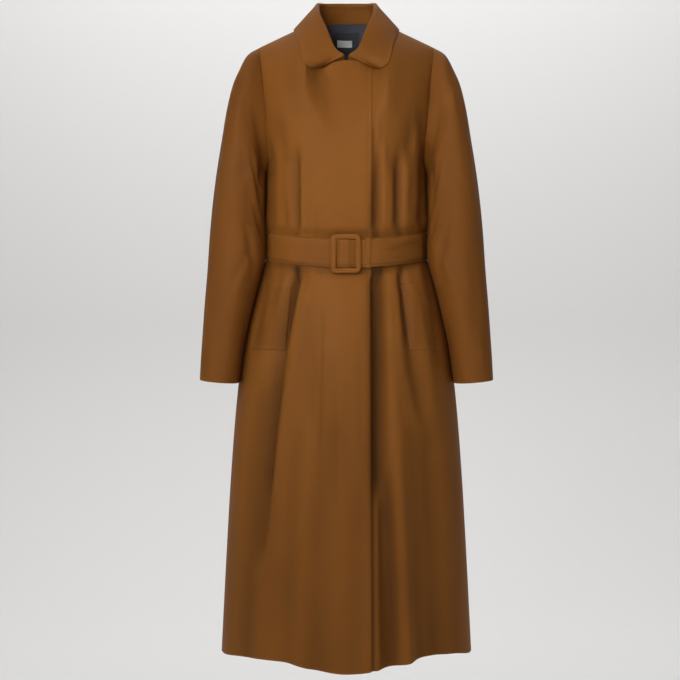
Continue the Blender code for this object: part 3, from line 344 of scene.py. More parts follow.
# %% [markdown]
# ## The form under the cloth
# The neck is an oval that melts into the shoulders, the armhole cuts a part off each upper
# section, and below the underarm each section is whole. The belt draws the cloth in and
# dips a little at the front. One function gives the depth at any place, so every panel,
# pocket, collar and tape can be laid on the same surface.
# %% The form
def neck_arch(x):
    """1 at the centre, 0 at the neck point and beyond."""
    return np.clip(1 - (np.abs(x) / NECK_HALF_WIDTH) ** 2, 0.0, 1.0)


def top_height(x, panel):
    """Height of the neck seam and, outside it, of the shoulder seam."""
    outside = np.clip(np.abs(x) - NECK_HALF_WIDTH, 0.0, None)
    swing = NECK_SWING[panel] * neck_arch(x) ** NECK_CURVE[panel]
    return NECK_POINT + swing - SHOULDER_SLOPE * outside


def full_half_width(share, height, panel):
    """Half width of the whole section; share is 0 at the shoulder, 1 at the underarm."""
    depth = section(height, panel)
    power = section(height, "power")
    lower = np.clip(2 * share - 1, 0.0, 1.0)
    cut = ARMHOLE_DEPTH[panel] * np.sqrt(np.clip(1 - lower ** 2, 0.0, 1.0))
    return section(height, "half_width") / (1 - (cut / depth) ** power) ** (1 / power)


def form_depth(x, share, height, panel):
    """Depth of the form at x, before folds, as a positive number."""
    depth = section(height, panel)
    power = section(height, "power")
    width = full_half_width(share, height, panel)
    inside = np.clip(1 - (np.abs(x) / width) ** power, 0.0, 1.0)
    out = depth * inside ** (1 / power)
    drop = (top_height(x, panel) - UNDERARM) * share
    curve = 0.5 + NECK_SOFTEN * ease(drop / NECK_REACH)
    neck = NECK_DEPTH[panel] * neck_arch(x) ** curve
    fill = 1 - (1 - np.clip(drop / RIDGE_DROP, 0.0, 1.0)) ** RIDGE_ROUND
    squareness = 1 + RIDGE_SQUARE * ease((np.abs(x) - SQUARE_START) / SQUARE_REACH)
    fill = np.where(share >= 1, 1.0, fill ** (1 / squareness))
    return neck + (out - neck) * fill


# %% The belt and the hem bend the form
def belt_sag(x, height, panel):
    """The belt, and the cloth held by it, dips at the front."""
    away = (np.abs(height - BELT_HEIGHT) - SAG_HELD * BELT_WIDTH) / SAG_REACH
    middle = np.clip(1 - (x / section(height, "half_width")) ** 2, 0.0, 1.0)
    return BELT_SAG[panel] * middle * (1 - ease(away))


def hem_rise(x, height, panel):
    """The front hem hangs lowest at its centre and rises beside it."""
    rise = read_table(HEM_RISE, HEM_RISE_NAMES, "rise", x)
    part = float(ease((HEM_RISE_START - height) / (HEM_RISE_START - HEM)))
    return rise * part * (panel == "front")


def blouse(x, height):
    """The cloth swells a little at the sides, just above and just below the belt."""
    out = float(read_table(BLOUSE, BLOUSE_NAMES, "out", height))
    return np.sign(x) * out * (np.abs(x) / section(height, "half_width")) ** BLOUSE_POWER


def fold_offset(x, height, panel, table, held=FOLD_HELD):
    """How far the folds of a table move the cloth along its normal."""
    offset = np.zeros_like(x)
    for row in table[panel]:
        fold = dict(zip(FOLD_NAMES, row))
        heights = (fold["z1"], fold["z2"], fold["z3"])
        line = curve_through(heights, (fold["x1"], fold["x2"], fold["x3"]), height)
        held_above = fold["z1"] < BELT_HEIGHT and fold["z1"] > FOLD_FREE
        held_below = fold["z3"] > BELT_HEIGHT
        start = ease((fold["z1"] - height) / (held if held_above else FOLD_FADE))
        end = ease((height - fold["z3"]) / (held if held_below else FOLD_FADE))
        away = (x - line) / fold["width"]
        ridge = RIDGE_HEIGHT * np.exp(-(away - RIDGE_AWAY * fold["ridge"]) ** 2)
        shape = ridge - np.exp(-away ** 2)
        offset += fold["depth"] * shape * start * end
    return offset


# %% [markdown]
# ## A fine grid for each panel
# Cloth needs enough rows and columns to bend softly: here about one every 4 to 6 mm, and
# more where a seam or an edge turns sharply. A few slow waves, from fixed numbers, keep
# broad flat areas from looking like sheet metal. They fade out at the seams, where two
# panels have to meet, and under the belt. On the real coat the creases and the cloth beside
# the belt look darker than these small forms make them. So every point also gets a depth of
# painted shade, and the material paints the cloth there darker with it.
# %% Panel grids
UPPER_ROWS = 44
LOWER_ROWS = 150
OVERLAP_COLUMNS = 15
NECK_COLUMNS = 32              # from the centre to the neck point
TOP_ROWS_END = 0.7             # the columns have their lower spacing at this share
HEM_ROWS = 0.012               # the finer rows of the hem begin this far above it
PLACKET_COLUMNS = 0.0115       # and the finer columns this far from the front edge
SIDE_COLUMNS = {"front": 60, "back": 48}
STITCH_IN = 0.0055             # topstitching, from a finished edge
STITCH_SINK = 0.00035
STITCH_REACH = 0.0011
EDGE_LINES = np.array((0.0015, 0.0030, 0.0044, 0.0055, 0.0066, 0.0082))
RIPPLE_HEIGHT = 0.00042
RIPPLE_WIDTHS = (0.050, 0.068, 0.090, 0.125, 0.17)
RIPPLE_LENGTHS = (2.2, 5.0)    # each wave's length is its width times a number between these
RIPPLE_UNIT = 0.1              # a wave of this width has the full height
RIPPLE_BELT, RIPPLE_SIDE = 0.060, 0.020          # it fades out over these distances
RIPPLE_TOP, RIPPLE_TOP_REACH = -0.02, 0.10
RIPPLE_SEED = 11
SEAM_SINK = 0.0004             # a seam lies this much lower than the cloth beside it
SEAM_REACH = 0.0040
SHOULDER_FADE = 0.012          # the shoulder seam's sink begins so far from the neck
SEAM_FADE = 0.012              # folds die away over this width beside a side seam
SEAM_FADE_UP = 0.03            # and this begins so far above the underarm
HAIR = 1e-6
FINE_SHADE = 2.6               # painted shade in the fine creases, as a multiple of their depth
SHADE_HELD = 0.005             # and the painted shade reaches right up to the belt
BELOW_BELT = (0.004, 0.009, 0.0140)    # painted shadow below the belt: its middle, reach and depth
# and the painted shadow above the belt, in the same way
ABOVE_BELT = (0.002, 0.006, 0.0060)


# %% Rows and columns
def row_heights():
    """Heights of all rows, and each row's share of the way to the underarm."""
    turn = np.pi * np.arange(UPPER_ROWS + 1) / UPPER_ROWS
    share = (1 - np.cos(turn)) / 2
    lower = np.linspace(UNDERARM, HEM + HEM_ROWS, LOWER_ROWS + 1)[1:]
    lower = np.concatenate([lower, HEM + EDGE_LINES[::-1], [HEM]])
    heights = np.concatenate([share * UNDERARM, lower])
    shares = np.concatenate([share, np.ones(len(lower))])
    return heights, shares


def half_columns(height, share, panel):
    """x of each column on one row, from the centre to the armhole or side seam."""
    side = SIDE_COLUMNS[panel]
    depth = section(height, panel)
    power = section(height, "power")
    width = full_half_width(share, height, panel)
    edge = section(height, "half_width")

    def turn_at(x):
        inside = np.clip(1 - (x / width) ** power, 0.0, 1.0)
        return math.atan2(x, depth * inside ** (1 / power))

    turns = np.linspace(turn_at(OVERLAP), turn_at(edge), side + 1)
    reach = (np.sin(turns) / width) ** power + (np.clip(np.cos(turns), 0, 1) / depth) ** power
    low = (np.sin(turns) / reach ** (1 / power) - OVERLAP) / (edge - OVERLAP)
    neck = NECK_COLUMNS - OVERLAP_COLUMNS
    round_neck = np.linspace(math.asin(OVERLAP / NECK_HALF_WIDTH), math.pi / 2, neck + 1)
    top = np.concatenate([
        NECK_HALF_WIDTH * np.sin(round_neck[:-1]),
        np.linspace(NECK_HALF_WIDTH, SHOULDER_POINT, side - neck + 1)])
    high = (top - OVERLAP) / (SHOULDER_POINT - OVERLAP)
    part = high + (low - high) * ease(share / TOP_ROWS_END)
    plain = OVERLAP_COLUMNS - len(EDGE_LINES)
    inner = np.linspace(0.0, OVERLAP - PLACKET_COLUMNS, plain)
    inner = np.concatenate([inner, OVERLAP - EDGE_LINES[::-1]])
    return np.concatenate([inner, OVERLAP + (edge - OVERLAP) * part])


# %% Slow waves
def ripple(x, height, panel):
    """Slow waves of the cloth, longer down the coat than across it."""
    chance = np.random.default_rng(RIPPLE_SEED + len(panel))
    wave = np.zeros_like(x)
    for across in RIPPLE_WIDTHS:
        down = across * chance.uniform(*RIPPLE_LENGTHS)
        lean, start = chance.uniform(-1, 1), chance.uniform(0, 2 * np.pi)
        turn = 2 * np.pi * (x / across + lean * height / down) + start
        wave += np.sin(turn) * across / RIPPLE_UNIT
    calm = ease((np.abs(height - BELT_HEIGHT) - 0.5 * BELT_WIDTH) / RIPPLE_BELT)
    edge = ease((section(height, "half_width") - np.abs(x)) / RIPPLE_SIDE)
    top = ease((RIPPLE_TOP - height) / RIPPLE_TOP_REACH)
    return RIPPLE_HEIGHT * wave * calm * edge * top


# %% Normals and seams
def grid_normals(points, panel):
    """Normals of a grid of rows and columns, pointing out of the coat."""
    normals = unit(np.cross(headings(points, 0), headings(points, 1)))
    return -normals if panel == "back" else normals


def on_shoulder(points):
    """Which columns of a panel's top row lie on the shoulder seam."""
    return np.abs(points[0, :, 0]) >= NECK_HALF_WIDTH - HAIR


def close_edges(normals, points):
    """At side and shoulder seams the front and the back share one normal."""
    normals = normals.copy()
    normals[0, on_shoulder(points), 1] = 0.0
    normals[UPPER_ROWS:, 0, 1] = 0.0
    normals[UPPER_ROWS:, -1, 1] = 0.0
    return unit(normals)


def along_rows(points):
    """Distance along each row from its first point."""
    steps = np.linalg.norm(np.diff(points, axis=1), axis=2)
    return np.concatenate([np.zeros((len(points), 1)), np.cumsum(steps, axis=1)], axis=1)


def seam_sink(points):
    """Side seams, armholes and shoulder seams lie a little deeper."""
    way = along_rows(points)
    near = np.minimum(way, way[:, -1:] - way)
    sink = np.exp(-(near / SEAM_REACH) ** 2)
    drop = np.linalg.norm(points - points[:1], axis=2)
    shoulder = ease((np.abs(points[0, :, 0]) - NECK_HALF_WIDTH) / SHOULDER_FADE)
    sink = np.maximum(sink, np.exp(-(drop / SEAM_REACH) ** 2) * shoulder[None, :])
    return -SEAM_SINK * sink


def side_fade(x, height):
    """Folds die away at the side seam, where front and back have to meet."""
    near = 1 - ease((section(height, "half_width") - np.abs(x)) / SEAM_FADE)
    return 1 - near * ease((UNDERARM + SEAM_FADE_UP - height) / SEAM_FADE_UP)


def stitch_sink(height):
    """The hem's topstitching draws the cloth in."""
    return -STITCH_SINK * np.exp(-((height - HEM - STITCH_IN) / STITCH_REACH) ** 2)


# %% The two panels
def painted_belt_shadow(height):
    """Painted shadow of the belt on the cloth beside its edges, deeper on the cloth below."""
    below = (height - BELT_HEIGHT + 0.5 * BELT_WIDTH + BELOW_BELT[0]) / BELOW_BELT[1]
    above = (height - BELT_HEIGHT - 0.5 * BELT_WIDTH - ABOVE_BELT[0]) / ABOVE_BELT[1]
    return BELOW_BELT[2] * np.exp(-below ** 2) + ABOVE_BELT[2] * np.exp(-above ** 2)


def panel_form(panel):
    """The whole front or back: points, normals and the depth of painted shade at each point."""
    heights, shares = row_heights()
    count = OVERLAP_COLUMNS + SIDE_COLUMNS[panel]
    sign = -1 if panel == "front" else 1
    points = np.zeros((len(heights), 2 * count + 1, 3))
    for row, (height, share) in enumerate(zip(heights, shares)):
        half = half_columns(height, share, panel)
        x = np.concatenate([-half[:0:-1], half])
        y = sign * form_depth(x, share, height, panel)
        z = top_height(x, panel) * (1 - share) + UNDERARM * share
        if share >= 1:
            z = height + belt_sag(x, height, panel) + hem_rise(x, height, panel)
            x = x + blouse(x, height)
            y[0] = y[-1] = 0.0
        points[row] = np.stack([x, y, z * np.ones_like(x)], axis=1)
    bare = close_edges(grid_normals(points, panel), points)
    nominal = np.repeat(heights[:, None], points.shape[1], axis=1)
    x = points[..., 0]
    fine = fold_offset(x, nominal, panel, CREASES) * side_fade(x, nominal)
    large = fold_offset(x, nominal, panel, FOLDS) + ripple(x, nominal, panel)
    folds = large * side_fade(x, nominal) + fine
    sinks = seam_sink(points) + stitch_sink(nominal)
    points = points + bare * (folds + sinks)[..., None]
    # Painted shade: darker in the creases and folds, right up to the belt, and in the belt's
    # painted shadow.
    beside = nominal + np.where(nominal < BELT_HEIGHT, -SHADE_HELD, SHADE_HELD)
    dark = FINE_SHADE * fold_offset(x, beside, panel, CREASES, SHADE_HELD)
    shade = np.minimum(dark, 0.0) + fold_offset(x, beside, panel, FOLDS, SHADE_HELD)
    shade = shade * side_fade(x, nominal) - painted_belt_shadow(nominal)
    return points, close_edges(grid_normals(points, panel), points), shade


front = panel_form("front")
back = panel_form("back")
print("front grid", front[0].shape, "back grid", back[0].shape)

# %% [markdown]
# ## A sheet with two faces and a turned edge
# A coat panel is never a single surface. Its edge is folded over, so it looks round and a
# little thick. The helper below makes a closed wall from an outer and an inner grid, adds
# a narrow row beside each edge so that the flat part stays flat when it is shaded, and
# closes the rim with a bulge. It also stores a UV map in real metres for the weave, and
# two attributes for the material: the depth of painted shade at a point, called "fold",
# and how near a worn edge is.
# %% Shell helper
EDGE_ROW = 0.0009              # the narrow row beside an edge
EDGE_BULGE = 0.42              # of the wall's thickness
WEAR_REACH = 0.0035


def insert_beside(grid, axis, parts):
    """A new row (or column) near each end, at a part of the first and of the last step."""
    first, second = np.take(grid, [0], axis), np.take(grid, [1], axis)
    last, before = np.take(grid, [-1], axis), np.take(grid, [-2], axis)
    head = first + (second - first) * parts[0]
    tail = last + (before - last) * parts[1]
    middle = np.take(grid, range(1, grid.shape[axis] - 1), axis)
    return np.concatenate([first, head, middle, tail, last], axis)


def edge_parts(points, axis):
    """How far along the end steps the narrow rows stand."""
    steps = np.linalg.norm(np.diff(points, axis=axis), axis=2).mean(axis=1 - axis)
    return [min(0.5, EDGE_ROW / max(steps[end], HAIR)) for end in (0, -1)]


# %% Map, wear and faces
def cloth_uv(points):
    """Metres across and down the cloth, from the middle column and the top row."""
    down = np.linalg.norm(np.diff(points, axis=0), axis=2).mean(axis=1)
    down = np.concatenate([[0.0], np.cumsum(down)])
    row_across = along_rows(points)
    middle = points.shape[1] // 2
    u = row_across - row_across[:, middle:middle + 1]
    v = np.repeat(-down[:, None], points.shape[1], axis=1)
    return np.stack([u, v], axis=2)


def worn(points, edges):
    """1 at the named finished edges, fading inwards."""
    rows = along_rows(points)
    columns = along_rows(np.swapaxes(points, 0, 1)).T
    wear = np.zeros(points.shape[:2])
    for word, way in (("left", rows), ("right", rows[:, -1:] - rows),
                      ("top", columns), ("bottom", columns[-1:] - columns)):
        if word in edges:
            wear = np.maximum(wear, np.exp(-way / WEAR_REACH))
    return wear


def grid_faces(rows, columns, wrap, shift, turned):
    """Faces of a grid; "wrap" joins its last column to its first."""
    across = columns if wrap else columns - 1
    faces = []
    for row in range(rows - 1):
        for column in range(across):
            a = shift + row * columns + column
            b = shift + row * columns + (column + 1) % columns
            quad = (a, b, b + columns, a + columns)
            faces.append(quad[::-1] if turned else quad)
    return faces


def border_loops(rows, columns, wrap):
    """Index loops round the open edges of a grid."""
    index = np.arange(rows * columns).reshape(rows, columns)
    top, bottom = index[0].tolist(), index[-1, ::-1].tolist()
    if wrap:
        return [top, bottom]
    return [top + index[1:, -1].tolist() + bottom[1:] + index[-2:0:-1, 0].tolist()]


def away_from_middle(grid, edges):
    """Direction out of the sheet at the finished edges, zero elsewhere."""
    way = np.zeros_like(grid)
    turned, turned_way = np.swapaxes(grid, 0, 1), np.swapaxes(way, 0, 1)
    for word, points, found, end, next_in in (
            ("top", grid, way, 0, 1), ("bottom", grid, way, -1, -2),
            ("left", turned, turned_way, 0, 1), ("right", turned, turned_way, -1, -2)):
        if word in edges:
            found[end] += unit(points[end] - points[next_in])
    return unit(way)


# %% Pieces from grids
def new_piece(name, vertices, faces, material, uv, values):
    """A mesh object from arrays, with its UV map and point attributes."""
    mesh = bpy.data.meshes.new(name)
    mesh.from_pydata([tuple(v) for v in vertices], [], faces)
    box = bmesh.new()
    box.from_mesh(mesh)
    bmesh.ops.recalc_face_normals(box, faces=box.faces)
    box.to_mesh(mesh)
    box.free()
    layer = mesh.uv_layers.new(name="cloth")
    corners = np.zeros(len(mesh.loops), dtype=int)
    mesh.loops.foreach_get("vertex_index", corners)
    layer.data.foreach_set("uv", uv[corners].astype(np.float32).ravel())
    for word, numbers in values.items():
        layer = mesh.attributes.new(word, "FLOAT", "POINT")
        layer.data.foreach_set("value", np.ascontiguousarray(numbers, dtype=np.float32))
    mesh.shade_smooth()
    mesh.materials.append(material)
    return put_in_scene(name, mesh)


def shell(name, outer, inner, material, shade=None, edges="", wrap=False):
    """Closed cloth wall between two grids, with rounded edges."""
    shade = np.zeros(outer.shape[:2]) if shade is None else shade
    wear = worn(outer, edges)
    extras = np.concatenate([cloth_uv(outer), shade[..., None], wear[..., None]], axis=2)
    down = edge_parts(outer, 0)
    outer, inner, extras = (insert_beside(g, 0, down) for g in (outer, inner, extras))
    if not wrap:
        across = edge_parts(outer, 1)
        outer, inner, extras = (insert_beside(g, 1, across) for g in (outer, inner, extras))
    rows, columns = outer.shape[:2]
    count = rows * columns
    faces = grid_faces(rows, columns, wrap, 0, False)
    faces += grid_faces(rows, columns, wrap, count, True)
    bulge = np.linalg.norm(outer - inner, axis=2, keepdims=True) * EDGE_BULGE
    middle = (outer + inner) / 2
    rim = (middle + away_from_middle(middle, edges) * bulge).reshape(-1, 3)
    vertices = [outer.reshape(-1, 3), inner.reshape(-1, 3)]
    flat = extras.reshape(-1, 4)
    numbers = [flat, flat]
    start = 2 * count
    for loop in border_loops(rows, columns, wrap):
        size = len(loop)
        vertices.append(rim[loop])
        numbers.append(flat[loop])
        for place in range(size):
            after = (place + 1) % size
            here, there = loop[place], loop[after]
            faces.append((here, start + place, start + after, there))
            faces.append((start + place, here + count, there + count, start + after))
        start += size
    numbers = np.concatenate(numbers)
    # The attribute "fold" carries the painted shade, "wear" the worn edges.
    return new_piece(name, np.concatenate(vertices), faces, material, numbers[:, :2],
                     {"fold": numbers[:, 2], "wear": numbers[:, 3]})


# %% [markdown]
# ## Gabardine
# Gabardine is a tight cotton or wool twill: its ribs climb steeply, less than a millimetre
# apart. The pattern follows the UV map, which is in metres on the cloth itself, so it
# bends with every fold and meets a seam at an angle, as woven cloth does. Four things vary
# the colour: the rib, the thicker threads, a slow unevenness of the dye, and the two
# attributes. The first is painted shade, which darkens the troughs and the cloth beside
# the belt, and the second makes the worn turned edges a little lighter. The sheen is set on
# the shader itself.
# %% Material helpers
CLOTH_GLOSS = 0.12


def add_node(tree, kind, **settings):
    made = tree.nodes.new(kind)
    for word, value in settings.items():
        setattr(made, word, value)
    return made


def set_inputs(made, values):
    for word, value in values.items():
        made.inputs[word].default_value = value


def calculate(tree, operation, first, second=None, third=None):
    """A Math node; each input is a socket or a number."""
    made = add_node(tree, "ShaderNodeMath", operation=operation)
    for place, value in enumerate((first, second, third)):
        if value is None:
            continue
        if isinstance(value, (int, float)):
            made.inputs[place].default_value = value
        else:
            tree.links.new(value, made.inputs[place])
    return made.outputs[0]


def times(tree, first, second):
    """The product of two inputs."""
    return calculate(tree, "MULTIPLY", first, second)


# %% Colours, noise and bump
def mix_colours(tree, factor, first, second):
    """A colour mix; each colour is a socket or three numbers."""
    made = add_node(tree, "ShaderNodeMix", data_type="RGBA")
    tree.links.new(factor, made.inputs["Factor"])
    for socket, value in ((made.inputs[6], first), (made.inputs[7], second)):
        if isinstance(value, tuple):
            socket.default_value = (*value, 1.0)
        else:
            tree.links.new(value, socket)
    return made.outputs[2]


def new_material(name, roughness, sheen, sheen_roughness, sheen_colour):
    """A cloth material, with its node tree and its shader."""
    made = bpy.data.materials.new(name)
    made.use_nodes = True
    shader = made.node_tree.nodes["Principled BSDF"]
    set_inputs(shader, {"Roughness": roughness, "Sheen Weight": sheen,
                        "Sheen Roughness": sheen_roughness,
                        "Sheen Tint": (*sheen_colour, 1.0),
                        "Specular IOR Level": CLOTH_GLOSS})
    return made, made.node_tree, shader


def cloth_place(tree):
    """The place on the cloth in metres, then its parts across and down, as sockets."""
    uv = add_node(tree, "ShaderNodeUVMap", uv_map="cloth")
    parts = add_node(tree, "ShaderNodeSeparateXYZ")
    tree.links.new(uv.outputs[0], parts.inputs[0])
    return uv.outputs[0], parts.outputs[0], parts.outputs[1]


def attribute(tree, name):
    return add_node(tree, "ShaderNodeAttribute", attribute_name=name).outputs["Fac"]


def noise(tree, place, scale, detail, stretch):
    """Soft spots at a place on the cloth, longer where the stretch is less."""
    mapping = add_node(tree, "ShaderNodeMapping")
    set_inputs(mapping, {"Scale": stretch})
    tree.links.new(place, mapping.inputs["Vector"])
    made = add_node(tree, "ShaderNodeTexNoise")
    set_inputs(made, {"Scale": scale, "Detail": detail})
    tree.links.new(mapping.outputs[0], made.inputs["Vector"])
    return made.outputs["Fac"]


def give_bump(tree, shader, height, distance, strength):
    bump = add_node(tree, "ShaderNodeBump")
    set_inputs(bump, {"Distance": distance, "Strength": strength})
    tree.links.new(height, bump.inputs["Height"])
    tree.links.new(bump.outputs[0], shader.inputs["Normal"])


# %% Gabardine
RIB_PITCH = 0.0009
RIB_ANGLE = math.radians(63)
CAMEL = (0.272, 0.097, 0.0150)
CAMEL_DEEP = (0.110, 0.036, 0.0050)
CAMEL_LIGHT = (0.345, 0.140, 0.030)
TRIM_CAMEL = (0.258, 0.091, 0.0140)
# a darker copy of the body's camel: painted shade over the whole sleeves
SHADED_SLEEVE_CAMEL = (0.222, 0.077, 0.0118)
# the colour that the painted shade in troughs and beside the belt darkens towards
PAINTED_SHADE_DARK = (0.020, 0.006, 0.0010)
CAMEL_SHEEN = (0.62, 0.36, 0.15)
RIB_SHARE = 0.22               # how much of the deep colour the tops of the ribs take
SLUB_SIZE = (900.0, 2.0, (1.0, 0.12, 1.0))       # scale, detail and stretch of a noise
SLUB_SHARE = 0.16
DYE_SIZE = (7.0, 3.0, (1.0, 0.45, 1.0))
DYE_LEVEL, DYE_SHARE = 0.40, 0.9
SHADE_TO_DARK = -23.0          # painted shade is a negative depth in metres
DARKEST = 0.86
RUBBED_SHARE = 0.20
ROUGH_LOW, ROUGH_MORE = 0.56, 0.18
RIB_HIGH, SLUB_HIGH = 0.5, 0.6
BUMP_DEPTH, BUMP_STRENGTH = 0.00012, 0.5


def gabardine(name, base):
    """Cloth material: one more colour is mixed over the base in each step."""
    material, tree, shader = new_material(name, roughness=0.62, sheen=0.035,
                                          sheen_roughness=0.45, sheen_colour=CAMEL_SHEEN)
    uv, across, down = cloth_place(tree)
    climb = calculate(tree, "ADD", times(tree, across, math.sin(RIB_ANGLE)),
                      times(tree, down, -math.cos(RIB_ANGLE)))
    wave = calculate(tree, "SINE", times(tree, climb, 2 * math.pi / RIB_PITCH))
    ribs = calculate(tree, "MULTIPLY_ADD", wave, 0.5, 0.5)
    slub = noise(tree, uv, *SLUB_SIZE)
    uneven = calculate(tree, "SUBTRACT", noise(tree, uv, *DYE_SIZE), DYE_LEVEL)
    # Painted shade: the "fold" attribute darkens the troughs and the cloth beside the belt.
    trough = times(tree, attribute(tree, "fold"), SHADE_TO_DARK)
    colour = base
    for share, over in ((times(tree, ribs, RIB_SHARE), CAMEL_DEEP),
                        (times(tree, slub, SLUB_SHARE), CAMEL_LIGHT),
                        (times(tree, uneven, DYE_SHARE), CAMEL_DEEP),
                        (calculate(tree, "MINIMUM", trough, DARKEST), PAINTED_SHADE_DARK),
                        (times(tree, attribute(tree, "wear"), RUBBED_SHARE), CAMEL_LIGHT)):
        colour = mix_colours(tree, share, colour, over)
    tree.links.new(colour, shader.inputs["Base Color"])
    rough = calculate(tree, "MULTIPLY_ADD", slub, ROUGH_MORE, ROUGH_LOW)
    tree.links.new(rough, shader.inputs["Roughness"])
    height = calculate(tree, "ADD", times(tree, ribs, RIB_HIGH), times(tree, slub, SLUB_HIGH))
    give_bump(tree, shader, height, BUMP_DEPTH, BUMP_STRENGTH)
    return material


body_cloth = gabardine("gabardine", CAMEL)
trim_cloth = gabardine("gabardine on stiffening", TRIM_CAMEL)
# The sleeves take a darker copy of the same cloth, as painted shade.
shaded_sleeve_cloth = gabardine("gabardine on the sleeves with painted shade", SHADED_SLEEVE_CAMEL)
print("materials:", [cloth.name for cloth in (body_cloth, trim_cloth, shaded_sleeve_cloth)])

# %% [markdown]
# ## The fronts
# The wearer's right front lies on top and ends at a straight edge left of the centre. The
# left front passes under it, one wall and a seam gap deeper, and comes back to the form
# beside the edge. Both are cut from the same grid, so they fold together.
# %% Fronts
TOP_SHARE = 0.0245             # the rows above this share are drawn together
TOP_TRIM = 0.0196
TOP_TRIM_REACH = 0.0153
HEM_STITCH_ROW = -5            # the row that lies STITCH_IN above the hem
PLACKET_STITCH_COLUMN = -3     # counted from the front edge


def shift_edges(points, side_sign, panel, centre_seam=False):
    """Draw the side, shoulder and centre-back edges a hair in, so no two panels touch."""
    moved = points.copy()
    inwards = SEAM_CLOSE if panel == "back" else -SEAM_CLOSE
    moved[0, on_shoulder(points), 1] += inwards
    moved[UPPER_ROWS:, -1 if side_sign > 0 else 0, 1] += inwards
    if centre_seam:
        moved[:, 0 if side_sign > 0 else -1, 0] += side_sign * SEAM_CLOSE
    return moved


def under_layer(points, normals):
    """The left front's outer points: sunk under the right front, then back on the form."""
    past = (points[..., 0] - OVERLAP) / UNDERLAP_BLEND
    inset = (SHELL_WALL + SEAM_GAP) * (1 - ease(past))
    return points - inset[..., None] * normals


def trimmed_top(grid, centre):
    """Past the centre the top edge is drawn down, clear of the collar's other end."""
    share = row_heights()[1]
    made = grid.copy()
    for column in range(centre + 1, grid.shape[1]):
        cut = TOP_TRIM * float(ease(grid[0, column, 0] / TOP_TRIM_REACH))
        wanted = np.maximum(share, cut + (1 - cut / TOP_SHARE) * share)
        near = share < TOP_SHARE
        for axis in range(3):
            made[near, column, axis] = np.interp(wanted[near], share, grid[:, column, axis])
    return made


# %% Two fronts
points, normals, shade = front
centre = points.shape[1] // 2
last = centre + OVERLAP_COLUMNS
upper = slice(None, last + 1)
edge_way = (OVERLAP - STITCH_IN - points[:, upper, 0]) / STITCH_REACH
placket = -STITCH_SINK * np.exp(-edge_way ** 2)
outer = shift_edges(points[:, upper], -1, "front") + placket[..., None] * normals[:, upper]
inner = outer - SHELL_WALL * normals[:, upper]
outer, inner = trimmed_top(outer, centre), trimmed_top(inner, centre)
front_right = shell("coat_front_right", outer, inner, body_cloth, shade[:, upper],
                    "right bottom")
stitched = last + PLACKET_STITCH_COLUMN
placket_line = outer[2:-1, stitched], normals[2:-1, stitched]
right_hem_line = outer[HEM_STITCH_ROW, :stitched + 1]
lower = slice(centre - OVERLAP_COLUMNS, None)
outer = shift_edges(under_layer(points, normals)[:, lower], 1, "front")
left_hem_line = outer[HEM_STITCH_ROW, 2 * OVERLAP_COLUMNS + 1:]
front_left = shell("coat_front_left", outer, outer - SHELL_WALL * normals[:, lower],
                   body_cloth, shade[:, lower], "left bottom")
print("fronts:", len(front_right.data.polygons), "and", len(front_left.data.polygons), "faces")

# %% [markdown]
# ## The backs
# Two halves meet at a seam down the middle. The seam shows as a fine groove, so the rows
# beside it are drawn in by the same small sink as at the side seams.
# %% Backs
points, normals, shade = back
centre = points.shape[1] // 2
way = np.abs(points[..., 0])
back_points = points - (SEAM_SINK * np.exp(-(way / SEAM_REACH) ** 2))[..., None] * normals
backs, back_hem_lines = [], []
for name, side_sign in (("coat_back_right", -1), ("coat_back_left", 1)):
    part = slice(None, centre + 1) if side_sign < 0 else slice(centre, None)
    spread = normals[:, part].copy()
    spread[:, -1 if side_sign < 0 else 0, 0] = 0.0
    outer = shift_edges(back_points[:, part], side_sign, "back", centre_seam=True)
    backs.append(shell(name, outer, outer - SHELL_WALL * unit(spread), body_cloth,
                       shade[:, part], "bottom"))
    back_hem_lines.append((outer[HEM_STITCH_ROW], normals[HEM_STITCH_ROW, part]))
print("backs:", [len(b.data.polygons) for b in backs], "faces")

# %% [markdown]
# ## The sleeves
# A sleeve is a slanted tube. Each ring is a squarish oval between the point nearest the
# body and the point farthest from it, and the first ring is the armhole itself. A smooth
# spline through the rings rounds the sleeve head, where flat steps would show. The arm is
# a little forward and bent, so the creases gather at the front of the elbow.
# %% Sleeve sizes
SLEEVE_NAMES = ("inner_z", "outer_x", "outer_z", "front", "back", "clear", "forward")
SLEEVE_RINGS = (
    (-0.2785, 0.188, -0.0440, 0.069, 0.065, 0.0004, 0.003),
    (-0.2840, 0.204, -0.0740, 0.072, 0.067, 0.0001, 0.010),
    (-0.2920, 0.216, -0.1040, 0.074, 0.068, 0.0001, 0.018),
    (-0.3030, 0.227, -0.1500, 0.075, 0.069, 0.0001, 0.024),
    (-0.3200, 0.236, -0.2050, 0.075, 0.069, 0.0001, 0.028),
    (-0.3480, 0.245, -0.2640, 0.074, 0.068, 0.0006, 0.031),
    (-0.3860, 0.253, -0.3280, 0.073, 0.067, 0.0035, 0.032),
    (-0.4300, 0.259, -0.3920, 0.071, 0.065, 0.0043, 0.034),
    (-0.4800, 0.263, -0.4540, 0.068, 0.062, 0.0030, 0.041),
    (-0.5350, 0.268, -0.5160, 0.065, 0.060, 0.0030, 0.046),
    (-0.5850, 0.272, -0.5740, 0.061, 0.057, 0.0034, 0.050),
    (-0.6280, 0.275, -0.6190, 0.058, 0.054, 0.0036, 0.053),
    (-0.6640, 0.277, -0.6580, 0.056, 0.052, 0.0038, 0.055),
)
RINGS_BETWEEN = 9
SLEEVE_SQUARE = 2.25           # power of the squarish oval
SLEEVE_RIDGE, SLEEVE_RIDGE_AWAY = 0.35, 1.8      # height and place of a fold's ridge
